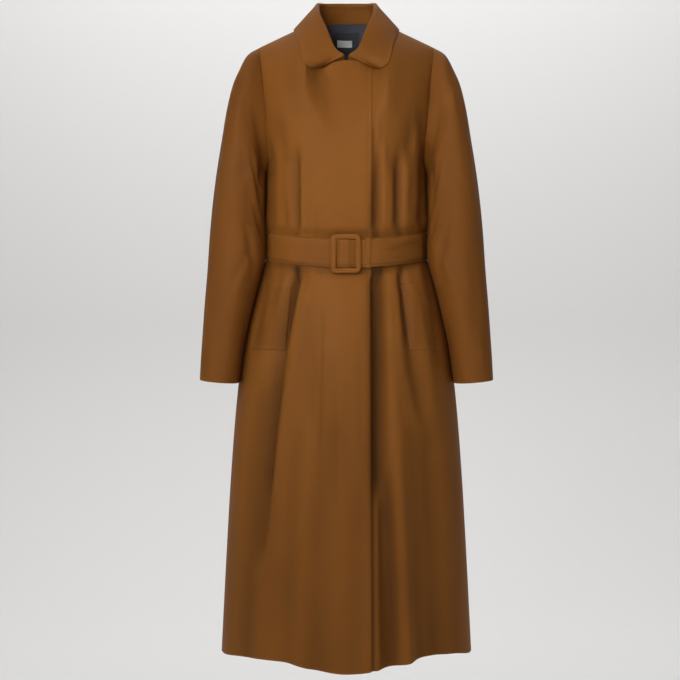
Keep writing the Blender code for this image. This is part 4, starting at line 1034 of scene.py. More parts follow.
# Folds of a sleeve: turn 0 is away from the body, a quarter is the front, a half is
# towards the body. "slant" is how far a fold turns for each ring.
SLEEVE_FOLD_NAMES = ("turn", "ring", "length", "depth", "width", "slant")
SLEEVE_FOLDS = (
    (0.30, 6.0, 2.6, 0.0045, 0.055, 0.020),
    (0.62, 7.5, 2.4, 0.0050, 0.060, 0.020),
    (0.18, 9.5, 2.0, 0.0035, 0.055, 0.020),
    (0.80, 5.0, 2.2, 0.0040, 0.060, 0.020),
    (0.385, 3.2, 2.2, 0.0056, 0.030, 0.004),
    (0.36, 4.6, 1.3, 0.0034, 0.030, 0.050),
    (0.24, 5.2, 1.1, 0.0030, 0.026, -0.045),
    (0.40, 6.8, 0.9, 0.0034, 0.024, 0.060),
    (0.33, 7.8, 0.8, 0.0032, 0.024, 0.055),
    (0.27, 8.8, 0.9, 0.0028, 0.024, -0.050),
    (0.12, 3.0, 1.6, 0.0022, 0.030, 0.012),
    (0.06, 6.2, 1.8, 0.0024, 0.034, 0.010),
    (0.92, 7.6, 2.0, 0.0022, 0.032, -0.012),
    (0.70, 3.6, 1.2, 0.0026, 0.030, -0.040),
    (0.76, 9.2, 1.5, 0.0024, 0.034, 0.018),
    (0.44, 11.2, 1.0, 0.0016, 0.026, 0.012),
    (0.14, 11.6, 1.1, 0.0014, 0.028, -0.012),
    (0.86, 11.4, 1.2, 0.0016, 0.030, 0.010),
)


# %% Sleeve helpers
def sleeve_ring(row, turns):
    """One oval ring, tilted between its inner and its outer point."""
    ring = dict(zip(SLEEVE_NAMES, row))
    height, lean = ring["inner_z"], ring["forward"]
    power = float(section(height, "power"))
    beside = (1 - (lean / float(section(height, "front"))) ** power) ** (1 / power)
    inner_x = float(section(height, "half_width")) * beside + ring["clear"]
    inner = np.array([inner_x, -lean, height])
    outer = np.array([ring["outer_x"], -lean, ring["outer_z"]])
    middle, reach = (inner + outer) / 2, (outer - inner) / 2
    depth = np.where(np.sin(turns) > 0, ring["front"], ring["back"])
    square = 2 / SLEEVE_SQUARE
    along = np.sign(np.cos(turns)) * np.abs(np.cos(turns)) ** square
    across = np.sign(np.sin(turns)) * np.abs(np.sin(turns)) ** square
    ring_points = middle + along[:, None] * reach
    ring_points[:, 1] -= depth * across
    return ring_points


def spline_rings(rings, between):
    """A smooth spline through the rings, point by point."""
    rings = np.stack(rings)
    ends = np.concatenate([2 * rings[:1] - rings[1:2], rings, 2 * rings[-1:] - rings[-2:-1]])
    made = []
    for place in range(len(rings) - 1):
        a, b, c, d = ends[place:place + 4]
        for step in range(between):
            t = step / between
            made.append(0.5 * (2 * b + (c - a) * t + (2 * a - 5 * b + 4 * c - d) * t ** 2
                               + (3 * b - a - 3 * c + d) * t ** 3))
    made.append(rings[-1])
    return np.stack(made)


# %% Tube normals and folds
def tube_normals(points):
    """Outward normals of a grid whose columns close on themselves."""
    around = np.concatenate([points[:, -1:], points, points[:, :1]], axis=1)
    along = headings(around, 1)[:, 1:-1]
    found = unit(np.cross(along, headings(points, 0)))
    middle = points.mean(axis=1, keepdims=True)
    return -found if np.sum(found * (points - middle)) < 0 else found


def sleeve_fold_offset(ring, turns):
    """How far the folds move the sleeve's cloth along its normal."""
    offset = np.zeros((len(ring), len(turns)))
    for row in SLEEVE_FOLDS:
        fold = dict(zip(SLEEVE_FOLD_NAMES, row))
        slant = fold["turn"] + fold["slant"] * (ring - fold["ring"])
        away = (turns[None, :] / (2 * np.pi) - slant + 0.5) % 1.0 - 0.5
        away = away / fold["width"]
        along = (ring - fold["ring"]) / fold["length"]
        ridge = SLEEVE_RIDGE * np.exp(-(away - SLEEVE_RIDGE_AWAY) ** 2)
        shape = np.exp(-away ** 2) - ridge
        offset -= fold["depth"] * shape * np.exp(-along ** 2)
    return offset


# %% Sleeves
INSIDE_WIDTH = 0.11            # of a turn: no ridge rises here, between arm and body
HEAD_RINGS = 0.6               # the folds begin this far from the armhole

armhole = np.concatenate([front[0][:UPPER_ROWS + 1, -1], back_points[UPPER_ROWS - 1:0:-1, -1]])
armhole = armhole + np.array([SEAM_GAP, 0.0, 0.0])
turns = np.pi * np.arange(2 * UPPER_ROWS) / UPPER_ROWS
sleeve_points = spline_rings([armhole] + [sleeve_ring(row, turns) for row in SLEEVE_RINGS],
                             RINGS_BETWEEN)
ring_place = np.arange(len(sleeve_points))[:, None] / RINGS_BETWEEN
sleeve_folds = sleeve_fold_offset(ring_place, turns)
inside_arm = np.exp(-((turns / (2 * np.pi) - 0.5) / INSIDE_WIDTH) ** 2)[None, :]
sleeve_folds = np.minimum(sleeve_folds, sleeve_folds * (1 - inside_arm))
sleeve_folds *= ease(ring_place / HEAD_RINGS)
sleeve_points = sleeve_points + tube_normals(sleeve_points) * sleeve_folds[..., None]
sleeve_normals = tube_normals(sleeve_points)
sleeve_inner = sleeve_points - SHELL_WALL * sleeve_normals
flip = np.array([-1.0, 1.0, 1.0])
# The folds' depths also give the painted shade in the sleeves' troughs.
sleeve_left = shell("coat_sleeve_left", sleeve_points, sleeve_inner, shaded_sleeve_cloth,
                    sleeve_folds, "bottom", wrap=True)
sleeve_right = shell("coat_sleeve_right", sleeve_points[:, ::-1] * flip,
                     sleeve_inner[:, ::-1] * flip, shaded_sleeve_cloth,
                     sleeve_folds[:, ::-1], "bottom", wrap=True)
print("sleeves:", len(sleeve_left.data.polygons), "faces each, from",
      len(sleeve_points), "rings")

# %% [markdown]
# ## The collar
# The collar is one more sweep round the neck: a stand rises from the neck seam to a crest,
# and the fall turns over the crest and lies on the shoulders. Its outer edge follows a
# table of places on the panels, in turns round the neck: 0 is the centre front, 180 the
# centre back. The front corners are rounded because the edge's own curve is.
# %% Collar sizes
CREST_NAMES = ("turn", "x", "y", "z")
CREST = (
    (0, 0.0000, -0.0800, -0.0520),
    (20, 0.0185, -0.0730, -0.0400),
    (45, 0.0370, -0.0480, 0.0020),
    (70, 0.0495, -0.0180, 0.0330),
    (90, 0.0510, 0.0060, 0.0480),
    (110, 0.0490, 0.0260, 0.0560),
    (135, 0.0390, 0.0460, 0.0590),
    (180, 0.0000, 0.0600, 0.0610),
)
FALL_EDGE_NAMES = ("turn", "x", "z", "lift")
FALL_EDGE = (
    (7, 0.0520, -0.0760, 0.0013),
    (14, 0.0650, -0.0775, 0.0013),
    (22, 0.0750, -0.0710, 0.0013),
    (32, 0.0810, -0.0570, 0.0013),
    (48, 0.0855, -0.0360, 0.0013),
    (66, 0.0925, -0.0150, 0.0013),
    (90, 0.0985, 0.002515, 0.0013),   # on the shoulder seam
    (102, 0.0955, -0.0045, 0.0013),
    (114, 0.0875, -0.0150, 0.0015),
    (126, 0.0755, -0.0180, 0.0028),
    (138, 0.0610, -0.0150, 0.0055),
    (152, 0.0410, -0.0080, 0.0032),
    (166, 0.0205, -0.0015, 0.0015),
    (180, 0.0000, 0.0010, 0.0013),
)
RIDGE_TURNS = 12               # beside the shoulder seam the fall's edge leans evenly
BESIDE = 0.002                 # distance of the two points that give a normal
INSIDE_NECK = (0.0, 0.0, 0.05)
FOOT_GAPS = 1.5                # seam gaps between the panels and the stand
FIRST_TURN = 4.2
COLLAR_STEPS = 84
CREST_RADIUS = 0.0036
STAND_TOP = 0.008
FALL_ROLL = 0.0012             # the leaf's middle stands off this much
ROLL_LEAN = 0.7
STAND_PARTS = (0.0, 0.1, 0.2, 0.325, 0.45, 0.585, 0.72, 0.86, 1.0)
ARC_ANGLES = (175, 160, 145, 130, 110, 90, 70, 50, 32, 15)
LEAF_PARTS = (0.08, 0.16, 0.25, 0.35, 0.45, 0.55, 0.65, 0.75, 0.84, 0.92, 1.0)


# %% Collar helpers
def surface_at(x, z, panel):
    """Points of the form above the underarm, at given x and z."""
    top = top_height(x, panel)
    share = np.clip((top - z) / (top - UNDERARM), 0.0, 1.0)
    sign = -1 if panel == "front" else 1
    y = sign * form_depth(x, share, share * UNDERARM, panel)
    return np.stack([x, y, z], axis=-1)


def collar_turns():
    """Turns of the collar's columns, from one front end round the back to the other."""
    half = np.linspace(FIRST_TURN, 180.0, COLLAR_STEPS)
    return np.concatenate([-half, half[-2::-1]])


def crest_point(turn):
    """Where the collar turns over."""
    x, y, z = (float(read_table(CREST, CREST_NAMES, axis, abs(turn))) for axis in "xyz")
    return np.array([np.sign(turn) * x, y, z])


def fall_edge_point(turn):
    """Where the fall's outer edge lies, already off the panel by its gap and half wall."""
    x, z, lift = (float(read_table(FALL_EDGE, FALL_EDGE_NAMES, name, abs(turn)))
                  for name in ("x", "z", "lift"))
    panel = "front" if abs(turn) < 90 else "back"
    z = min(z, float(top_height(x, panel)) - 1e-5)
    spot = surface_at(np.array(x), np.array(z), panel)
    near = surface_at(np.array([x + BESIDE, x]), np.array([z, z - BESIDE]), panel)
    normal = unit(np.cross(near[0] - spot, near[1] - spot))
    if normal[1] * (-1 if panel == "front" else 1) < 0:
        normal = -normal
    from_seam = abs(abs(turn) - 90)
    if from_seam < RIDGE_TURNS:
        normal = unit(normal * np.array([1.0, from_seam / RIDGE_TURNS, 1.0]))
    lifted = spot + normal * (lift + COLLAR_WALL / 2)
    return lifted * np.array([np.sign(turn), 1.0, 1.0])


# %% Where the collar starts
def neck_seam():
    """Seam points and normals that the panels give, and the way off their edge, by turn."""
    found = []
    for turn in collar_turns():
        points, normals = (front if abs(turn) <= 90 else back)[:2]
        if 0 < turn <= 90:
            points = under_layer(points, normals)
        middle = points.shape[1] // 2
        part = slice(middle - NECK_COLUMNS, middle + NECK_COLUMNS + 1)
        x = NECK_HALF_WIDTH * math.sin(math.radians(turn)) if abs(turn) < 180 else 0.0
        place = np.clip(x, points[0, part, 0].min(), points[0, part, 0].max())
        found.append([[np.interp(place, points[0, part, 0], source[part, axis])
                       for axis in range(3)] for source in (points[0], normals[0])])
    spots, normals = (np.array([row[i] for row in found]) for i in range(2))
    normals = unit(normals)
    edges = unit(np.cross(headings(spots, 0), normals))
    inwards = np.sum(edges * (np.array(INSIDE_NECK) - spots), axis=1, keepdims=True)
    return spots, normals, edges * np.sign(inwards)


def collar_normals(grid, row, away):
    """Normals of a part of the collar; on one row they point the way that is given."""
    found = unit(np.cross(headings(grid, 1), headings(grid, 0)))
    return -found if np.sum(found[row] * away) < 0 else found


# %% Collar stand
turns = collar_turns()
seam, seam_normals, seam_edges = neck_seam()
crest = np.array([crest_point(turn) for turn in turns])
leaf_edge = np.array([fall_edge_point(turn) for turn in turns])
rise = unit(crest - seam)
foot = seam + seam_edges * SEAM_GAP * FOOT_GAPS
top = crest - rise * STAND_TOP
stand = np.stack([foot + (top - foot) * part for part in STAND_PARTS])
stand_normals = collar_normals(stand, 4, stand[4] * np.array([1.0, 1.0, 0.0]))
stand_inner = stand - COLLAR_WALL * stand_normals
stand_inner[0] = foot - SHELL_WALL * seam_normals
collar_stand = shell("coat_collar_stand", stand, stand_inner, trim_cloth, edges="left right")

# %% Collar fall
out = unit(np.cross(headings(crest, 0), rise))
out *= np.sign(np.sum(out[:, :2] * crest[:, :2], axis=1, keepdims=True))
pivot = crest - rise * CREST_RADIUS + out * CREST_RADIUS
rows = [crest - rise * (STAND_TOP - SEAM_GAP)]
for angle in np.radians(ARC_ANGLES):
    rows.append(pivot + CREST_RADIUS * (math.cos(angle) * out + math.sin(angle) * rise))
shoulder = rows[-1]
for part in LEAF_PARTS:
    bulge = FALL_ROLL * math.sin(math.pi * part)
    rows.append(shoulder + (leaf_edge - shoulder) * part + (out + rise) * ROLL_LEAN * bulge)
fall = np.stack(rows)
fall_normals = collar_normals(fall, -4, out)
half = COLLAR_WALL / 2
collar_fall = shell("coat_collar_fall", fall + half * fall_normals,
                    fall - half * fall_normals, trim_cloth, edges="left right bottom")
print("collar:", fall.shape[:2], "points in the fall")

# %% [markdown]
# ## Lining, label and size tab
# Only the part of the lining that shows inside the back neck is made. The label is a bare
# woven tape: a label's words belong to a maker, so this lesson leaves them out.
# %% Lining and tapes
LINING_SHARE = 0.6545          # of the way from the shoulder to the underarm
LABEL_HALF_WIDTH = 0.026
LABEL_TOP = 0.008
LABEL_BOTTOM = -0.031
TAPE_REST = 0.0012
TAB_LEFT = -0.020
TAB_RIGHT = 0.012
TAB_TOP = -0.005
TAB_BOTTOM = -0.017
TAPE_COLUMNS, TAPE_ROWS = 25, 19


def tape(name, left, right, top, bottom, behind, material):
    """A flat tape inside the back neck, "behind" the outer face of the back."""
    x, z = np.meshgrid(np.linspace(left, right, TAPE_COLUMNS),
                       np.linspace(top, bottom, TAPE_ROWS))
    points = surface_at(x, z, "back")
    normals = grid_normals(points, "back")
    outer = points - behind * normals
    inner = outer - LABEL_WALL * normals
    made = shell(name, outer, inner, material, edges="left right top bottom")
    return made, (inner, -normals)


# %% Cloth of the lining and tapes
def smooth_cloth(name, colour, roughness, threads, sheen):
    """Satin lining or woven tape: a fine cross weave in the bump only."""
    material, tree, shader = new_material(name, roughness, sheen, sheen_roughness=0.35,
                                          sheen_colour=(0.6, 0.62, 0.7))
    set_inputs(shader, {"Base Color": (*colour, 1.0)})
    warp, weft = (calculate(tree, "SINE", times(tree, way, 2 * math.pi / threads))
                  for way in cloth_place(tree)[1:])
    both = calculate(tree, "ADD", warp, weft)
    give_bump(tree, shader, both, distance=0.00006, strength=0.35)
    return material


lining_cloth = smooth_cloth("lining satin", (0.078, 0.082, 0.102), roughness=0.42,
                            threads=0.0008, sheen=0.06)
label_cloth = smooth_cloth("label tape", (0.056, 0.057, 0.068), roughness=0.60,
                           threads=0.0009, sheen=0.05)
tab_cloth = smooth_cloth("size tab tape", (0.76, 0.77, 0.79), roughness=0.70,
                         threads=0.0009, sheen=0.05)
# %% Lining, label and tab
centre = back_points.shape[1] // 2
columns = slice(centre - NECK_COLUMNS, centre + NECK_COLUMNS + 1)
lining_rows = slice(0, int(np.sum(row_heights()[1] <= LINING_SHARE)))
spread = back[1][lining_rows, columns]
outer = back_points[lining_rows, columns] - (SHELL_WALL + SEAM_GAP) * spread
neck_lining = shell("coat_neck_lining", outer, outer - LINING_WALL * spread, lining_cloth)
behind = SHELL_WALL + LINING_WALL + TAPE_REST
neck_label, label_face = tape("coat_neck_label", -LABEL_HALF_WIDTH, LABEL_HALF_WIDTH,
                              LABEL_TOP, LABEL_BOTTOM, behind + SEAM_GAP, label_cloth)
size_tab, tab_face = tape("coat_size_tab", TAB_LEFT, TAB_RIGHT, TAB_TOP, TAB_BOTTOM,
                          behind + LABEL_WALL + 3 * SEAM_GAP, tab_cloth)
print("lining:", outer.shape[:2], "points, behind it", neck_label.name, "and", size_tab.name)

# %% [markdown]
# ## Pocket welts
# A welt is a narrow strip that covers the slanted mouth of a pocket. It takes its points
# from the front itself, so it follows every fold under it.
# %% Pocket welts
POCKET_ROWS = (-0.472, -0.600)
POCKET_SHARES = (5 / 14, 9 / 14)
points, normals, shade = front
heights = row_heights()[0]
top_row, bottom_row = (int(np.argmin(np.abs(heights - h))) for h in POCKET_ROWS)
first, last = (OVERLAP_COLUMNS + round(SIDE_COLUMNS["front"] * s) for s in POCKET_SHARES)
centre = points.shape[1] // 2
welts, welt_faces = [], []
for name, columns in (("coat_pocket_welt_right", slice(centre - last, centre - first + 1)),
                      ("coat_pocket_welt_left", slice(centre + first, centre + last + 1))):
    part = (slice(top_row, bottom_row + 1), columns)
    base = points[part] + SEAM_GAP * normals[part]
    outer = base + SHELL_WALL * normals[part]
    # A welt takes the painted shade of the front under it.
    welts.append(shell(name, outer, base, trim_cloth, shade[part],
                       edges="left right top bottom"))
    welt_faces.append((outer, normals[part]))
print("welt:", base.shape[:2], "points")

# %% [markdown]
# ## The belt
# The belt is one strap. Its sewn end loops round the buckle's middle bar, it goes round
# the waist, comes back through the buckle over that bar and ends under the left arm. The
# path is a table of distances from the cloth, and the small wrinkles are added to it only
# outwards, because the coat is right under the belt.
# %% Belt sizes
BELT_REST = 0.0006
LOOP_WALL = 0.0010
KEEPER_WALL = 0.0010
KEEPER_WIDTH = 0.009
KEEPER_X = 0.0390
X_END = 0.0501                 # beside the buckle the belt is measured in x, up to here
START_STEP, RISE_STEP = 0.0020, 0.0010
SIDE_TURN = 30.0               # and past it in turns
BACK_END_TURN = 324.1
TURN_STEP = 1.5
TAIL_END_TURN = 66
UNDER_TAIL = (24, 20)          # the strap under the tail sinks to the cloth: start and reach
BUCKLE_X = -0.0010
BUCKLE_WIDTH = 0.0555
BUCKLE_HEIGHT = 0.0725
BUCKLE_BAR = 0.0093
BUCKLE_THICK = 0.004
BUCKLE_CORNER = 0.010
CENTRE_BAR_X = -0.0030
CENTRE_BAR_WIDTH = 0.0055
CENTRE_BAR_THICK = 0.0018
strap_base = KEEPER_WALL + 2 * SEAM_GAP + BELT_REST
tail_base = strap_base + BELT_WALL + SEAM_GAP
frame_base = tail_base + BELT_WALL + SEAM_GAP
BELT_ROWS = 15
# Creases along the belt: turn at the middle, height across the belt (-1 to 1), then
# half length in degrees, depth, width across, and slope.
WRINKLE_NAMES = ("turn", "across", "length", "depth", "width", "slope")
WRINKLES = (
    (396, 0.34, 10, 0.0030, 0.17, 0.016),
    (398, -0.24, 12, 0.0027, 0.16, -0.012),
    (410, 0.66, 9, 0.0018, 0.14, -0.016),
    (416, -0.58, 11, 0.0022, 0.15, 0.012),
    (325, -0.72, 12, 0.0022, 0.13, 0.006),
    (320, 0.40, 12, 0.0010, 0.16, -0.010),
    (312, -0.10, 12, 0.00050, 0.15, 0.012),
    (60, 0.20, 20, 0.00045, 0.18, 0.010),
    (96, -0.30, 18, 0.00040, 0.18, -0.008),
    (132, 0.35, 17, 0.00050, 0.17, 0.009),
    (170, -0.15, 20, 0.00045, 0.18, 0.006),
    (205, 0.40, 18, 0.00045, 0.16, -0.010),
    (240, -0.40, 20, 0.00050, 0.17, 0.008),
    (278, 0.10, 18, 0.00045, 0.18, -0.006),
)


# %% Belt helpers
SMALL_TURN = 0.01              # in radians, to find the belt line's direction
BELT_FORM = {name: float(section(BELT_HEIGHT, name)) for name in SECTION_NAMES[1:]}


def panel_at(angle):
    return "front" if math.cos(angle) > 0 else "back"


def on_belt_line(angle):
    """x and y of the form at the belt's height."""
    width, depth, power = (BELT_FORM[name] for name in ("half_width", panel_at(angle), "power"))
    reach = (abs(math.sin(angle)) / width) ** power
    reach = (reach + (abs(math.cos(angle)) / depth) ** power) ** (-1 / power)
    return np.array([reach * math.sin(angle), -reach * math.cos(angle)])


def belt_station(turn, offset):
    """Point beside the belt line: turn in degrees from the centre front to +X."""
    angle = math.radians(turn)
    spot = on_belt_line(angle)
    tangent = unit(on_belt_line(angle + SMALL_TURN) - on_belt_line(angle - SMALL_TURN))
    normal = np.array([tangent[1], -tangent[0]])
    height = BELT_HEIGHT + float(belt_sag(spot[0], BELT_HEIGHT, panel_at(angle)))
    place = spot + normal * offset
    return np.array([place[0], place[1], height]), np.array([normal[0], normal[1], 0.0])


# %% Places near the buckle, and wrinkles
def turn_at(x):
    """The turn of a point of the belt line near the centre front."""
    power = BELT_FORM["power"]
    y = BELT_FORM["front"] * (1 - (abs(x) / BELT_FORM["half_width"]) ** power) ** (1 / power)
    return math.degrees(math.atan2(x, y))


def front_station(x, offset):
    """A place beside the belt line, and its normal, at x near the centre front."""
    return belt_station(turn_at(x), offset)


def wrinkles(turns, across):
    """How far the small creases lift the belt, for each row and station."""
    lift = np.zeros((len(across), len(turns)))
    for row in WRINKLES:
        crease = dict(zip(WRINKLE_NAMES, row))
        along = (turns - crease["turn"]) / crease["length"]
        line = crease["across"] + crease["slope"] * (turns - crease["turn"])
        shape = np.exp(-((across[:, None] - line[None, :]) / crease["width"]) ** 2)
        lift += crease["depth"] * shape * np.exp(-along[None, :] ** 2)
    return lift


# %% Levels of the belt path
bar_left = CENTRE_BAR_X - CENTRE_BAR_WIDTH / 2
bar_right = CENTRE_BAR_X + CENTRE_BAR_WIDTH / 2
loop_low = frame_base - SEAM_GAP - LOOP_WALL / 2
loop_high = frame_base + CENTRE_BAR_THICK + SEAM_GAP + LOOP_WALL / 2
loop_radius = (loop_high - loop_low) / 2
bar_place = front_station(0.0, 0.0)[0]
low = BELT_REST + BELT_WALL / 2
mid = strap_base + BELT_WALL / 2
tail_low = frame_base - SEAM_GAP - BELT_WALL / 2
tail_mid = tail_base + BELT_WALL / 2
over = loop_high + LOOP_WALL / 2 + SEAM_GAP + BELT_WALL / 2
left, right = BUCKLE_X - BUCKLE_WIDTH / 2, BUCKLE_X + BUCKLE_WIDTH / 2
print("the belt's middle lies from", round(low, 4), "to", round(over, 4), "m off the cloth")

# %% Belt path, from the loop to the back
loop = [(bar_right + 0.0010, loop_high), (CENTRE_BAR_X, loop_high)]
for angle in np.radians(np.arange(90, 271, 20)):
    loop.append((bar_left + loop_radius * math.cos(angle),
                 (loop_low + loop_high) / 2 + loop_radius * math.sin(angle)))
loop.append((bar_right, loop_low))
stations = [(bar_place + np.array([x, -offset, 0.0]), LOOP_WALL, 0.0) for x, offset in loop]
START_NAMES = ("x", "offset", "wall")
START = ((0.0080, mid + 0.0012, BELT_WALL * 0.8), (0.0150, mid, BELT_WALL),
         (0.0300, mid, BELT_WALL), (0.0500, mid, BELT_WALL))
for x in np.arange(START[0][0], X_END, START_STEP):
    offset, thick = (float(read_table(START, START_NAMES, name, x))
                     for name in ("offset", "wall"))
    stations.append((front_station(x, offset)[0], thick, turn_at(x)))
for turn in np.arange(SIDE_TURN, BACK_END_TURN, TURN_STEP):
    near = 1 - ease((min(turn, 360 - turn) - UNDER_TAIL[0]) / UNDER_TAIL[1])
    lift = near * (strap_base - BELT_REST) if turn < 180 else 0.0
    stations.append((belt_station(turn, low + lift)[0], BELT_WALL, turn))

# %% Belt path, through the buckle to the tail
RISE_NAMES = ("x", "offset")
RISE = ((-0.060, low), (left - 0.014, low + 0.0012), (left, tail_low),
        (left + BUCKLE_BAR, tail_low), (bar_left - 0.0050, over - 0.0014),
        (bar_left - 0.0010, over), (bar_right + 0.0025, over),
        (bar_right + 0.0080, over - 0.0028), (right - BUCKLE_BAR, tail_low),
        (right, tail_mid), (0.0320, tail_mid), (0.0500, tail_mid))
for x in np.arange(RISE[0][0], X_END, RISE_STEP):
    offset = float(read_table(RISE, RISE_NAMES, "offset", x))
    stations.append((front_station(x, offset)[0], BELT_WALL, 360 + turn_at(x)))
for turn in np.arange(SIDE_TURN, TAIL_END_TURN + 0.1, TURN_STEP):
    near = 1 - ease((turn - UNDER_TAIL[0]) / UNDER_TAIL[1])
    lift = near * (strap_base - BELT_REST) + BELT_WALL + 2 * SEAM_GAP
    stations.append((belt_station(turn, low + lift)[0], BELT_WALL, 360 + turn))
path, walls, belt_turns = (np.array(column) for column in zip(*stations))
way = headings(path * np.array([1.0, 1.0, 0.0]), 0)
facing = np.stack([way[:, 1], -way[:, 0], np.zeros(len(way))], axis=1)
print("path:", len(path), "stations")

# %% Belt
CLEAR_TURNS = ((22, 325), (387, math.inf))       # clear of the buckle and the keeper
CLEAR_STATIONS = 9             # the wrinkles fade in over so many stations
INNER_CREASE = 0.7             # the inner face follows the wrinkles less
# a faint painted shade over the belt, taken away where its wrinkles rise
WRINKLE_SHADE, LEVEL_SHADE = 2.2, 0.0004
ARM_SHADE = 0.0060             # painted shade where the left arm shades the belt's end
ARM_START, ARM_END = (12, 22), (110, 40)         # turn and reach
EDGE_SHADE = 0.0200            # and a painted shadow line runs along the lower edge
EDGE_LINE, EDGE_LINE_WIDTH = -0.88, 0.07

across = np.linspace(1.0, -1.0, BELT_ROWS)
half = BELT_WIDTH / 2 - EDGE_BULGE * BELT_WALL
tall = across[:, None, None] * np.array([0.0, 0.0, half])
clear = np.any([(belt_turns > a) & (belt_turns < b) for a, b in CLEAR_TURNS], axis=0)
held = np.convolve(clear, np.ones(CLEAR_STATIONS) / CLEAR_STATIONS, mode="same")
creases = wrinkles(belt_turns, across) * held[None, :]
belt_outer, belt_inner = (
    path[None] + side * (walls / 2)[None, :, None] * facing[None] + tall
    + follow * creases[..., None] * facing[None]
    for side, follow in ((1, 1), (-1, INNER_CREASE)))
under_arm = ease((belt_turns % 360 - ARM_START[0]) / ARM_START[1])
under_arm *= ease((ARM_END[0] - belt_turns % 360) / ARM_END[1])
# Painted shade on the belt: faint over its flat parts, deeper under the left arm and in a line
# along its lower edge.
shade = np.minimum(WRINKLE_SHADE * creases - LEVEL_SHADE, 0.0) - ARM_SHADE * under_arm[None, :]
shade -= EDGE_SHADE * np.exp(-((across - EDGE_LINE) / EDGE_LINE_WIDTH) ** 2)[:, None]
belt = shell("coat_belt", belt_outer, belt_inner, trim_cloth, shade,
             edges="top bottom left right")
print("belt:", round(float(along_rows(belt_outer)[BELT_ROWS // 2, -1]), 3), "m long")

# %% [markdown]
# ## Buckle and keeper
# The buckle is a frame wrapped in the coat's own cloth, with a flat bar across it. Both the
# frame and the keeper are closed sweeps, so the same shell helper serves the keeper, and a
# ring of rounded profiles makes the frame.
# %% Rounded rectangle
def rounded_rectangle(width, height, radius, steps, straight):
    """Points (u, v) round a rectangle with their outward directions."""
    found = []
    for quarter, (su, sv) in enumerate(((1, 1), (-1, 1), (-1, -1), (1, -1))):
        for step in range(steps + 1):
            angle = math.pi / 2 * (quarter + step / steps)
            a, b = math.cos(angle), math.sin(angle)
            found.append((su * (width / 2 - radius) + radius * a,
                          sv * (height / 2 - radius) + radius * b, a, b))
    closed = found + found[:1]
    points = []
    for here, there in zip(closed[:-1], closed[1:]):
        gap = math.dist(here[:2], there[:2])
        count = straight if gap > 2 * radius * math.pi / steps else 1
        points += [tuple(h + (t - h) * k / count for h, t in zip(here, there))
                   for k in range(count)]
    return np.array(points)


# %% Keeper
KEEPER_CORNER = 0.0012
KEEPER_EDGES = 0.0008          # its two rounded edges together
KEEPER_COLUMNS = 7
keeper_low = BELT_REST + KEEPER_WALL / 2
keeper_high = tail_base + BELT_WALL + SEAM_GAP + KEEPER_WALL / 2
keeper_half = BELT_WIDTH / 2 + 2 * SEAM_GAP + KEEPER_WALL / 2
place, normal = front_station(KEEPER_X, 0.0)
along = np.array([-normal[1], normal[0], 0.0])
upward = np.array([0.0, 0.0, 1.0])
ring = rounded_rectangle(keeper_high - keeper_low, 2 * keeper_half, KEEPER_CORNER, 5, 14)
middle = (keeper_low + keeper_high) / 2
centres = place + normal * (middle + ring[:, :1]) + upward * ring[:, 1:2]
outward = unit(normal * ring[:, 2:3] + upward * ring[:, 3:4])
widths = np.linspace(-0.5, 0.5, KEEPER_COLUMNS)[:, None, None] * (KEEPER_WIDTH - KEEPER_EDGES)
widths = widths * along
outer = centres[None] + widths + KEEPER_WALL / 2 * outward[None]
inner = centres[None] + widths - KEEPER_WALL / 2 * outward[None]
keeper = shell("coat_belt_keeper", outer, inner, trim_cloth, edges="top bottom", wrap=True)
print("keeper:", len(keeper.data.polygons), "faces")

# %% Buckle frame
FRAME_SIDES = 20
FRAME_SQUARE = 0.62            # power of the profile: 1 is an oval, less is squarer
BUCKLE_WEAR = 0.25             # the whole buckle is rubbed a little
BAR_FORWARD = 0.0001
place = front_station(0.0, frame_base)[0]
height = place[2]
middle_y = place[1] - BUCKLE_THICK / 2
ring = rounded_rectangle(BUCKLE_WIDTH - BUCKLE_BAR, BUCKLE_HEIGHT - BUCKLE_BAR,
                         BUCKLE_CORNER - BUCKLE_BAR / 2, 7, 16)
centres = np.stack([BUCKLE_X + ring[:, 0], np.full(len(ring), middle_y),
                    height + ring[:, 1]], axis=1)
outward = unit(np.stack([ring[:, 2], np.zeros(len(ring)), ring[:, 3]], axis=1))
profile = 2 * np.pi * np.arange(FRAME_SIDES) / FRAME_SIDES
flat, high = (np.sign(part) * np.abs(part) ** FRAME_SQUARE * size / 2 for part, size in
              ((np.cos(profile), BUCKLE_BAR), (np.sin(profile), BUCKLE_THICK)))
depth = np.array([0.0, -1.0, 0.0])
grid = centres[:, None] + outward[:, None] * flat[None, :, None] + depth * high[None, :, None]
count, sides = grid.shape[:2]
faces = []
for step in range(count):
    here, after = step * sides, (step + 1) % count * sides
    for side in range(sides):
        beside = (side + 1) % sides
        faces.append((here + side, here + beside, after + beside, after + side))

# %% Centre bar and finished buckle
steps = np.linalg.norm(np.diff(centres, axis=0), axis=1)
run = np.concatenate([[0.0], np.cumsum(steps)])
girth = profile * (BUCKLE_BAR + BUCKLE_THICK) / math.pi / 2
uv = np.stack(np.broadcast_arrays(girth[None, :], run[:, None]), axis=2).reshape(-1, 2)
vertices = grid.reshape(-1, 3)
bar_x = CENTRE_BAR_X + np.array([-0.5, -0.5, 0.5, 0.5]) * CENTRE_BAR_WIDTH
bar_front = place[1] - BAR_FORWARD
bar_y = bar_front - np.array([0.0, 1.0, 1.0, 0.0]) * CENTRE_BAR_THICK
bar_reach = (BUCKLE_HEIGHT - BUCKLE_BAR) / 2
start = len(vertices)
bar = [(x, y, height + end * bar_reach) for end in (-1, 1) for x, y in zip(bar_x, bar_y)]
vertices = np.concatenate([vertices, bar])
uv = np.concatenate([uv, [(v[0], v[2]) for v in bar]])
faces += [(start + a, start + b, start + b + 4, start + a + 4)
          for a, b in ((0, 1), (1, 2), (2, 3), (3, 0))]
faces += [tuple(range(start, start + 4)), tuple(range(start + 7, start + 3, -1))]
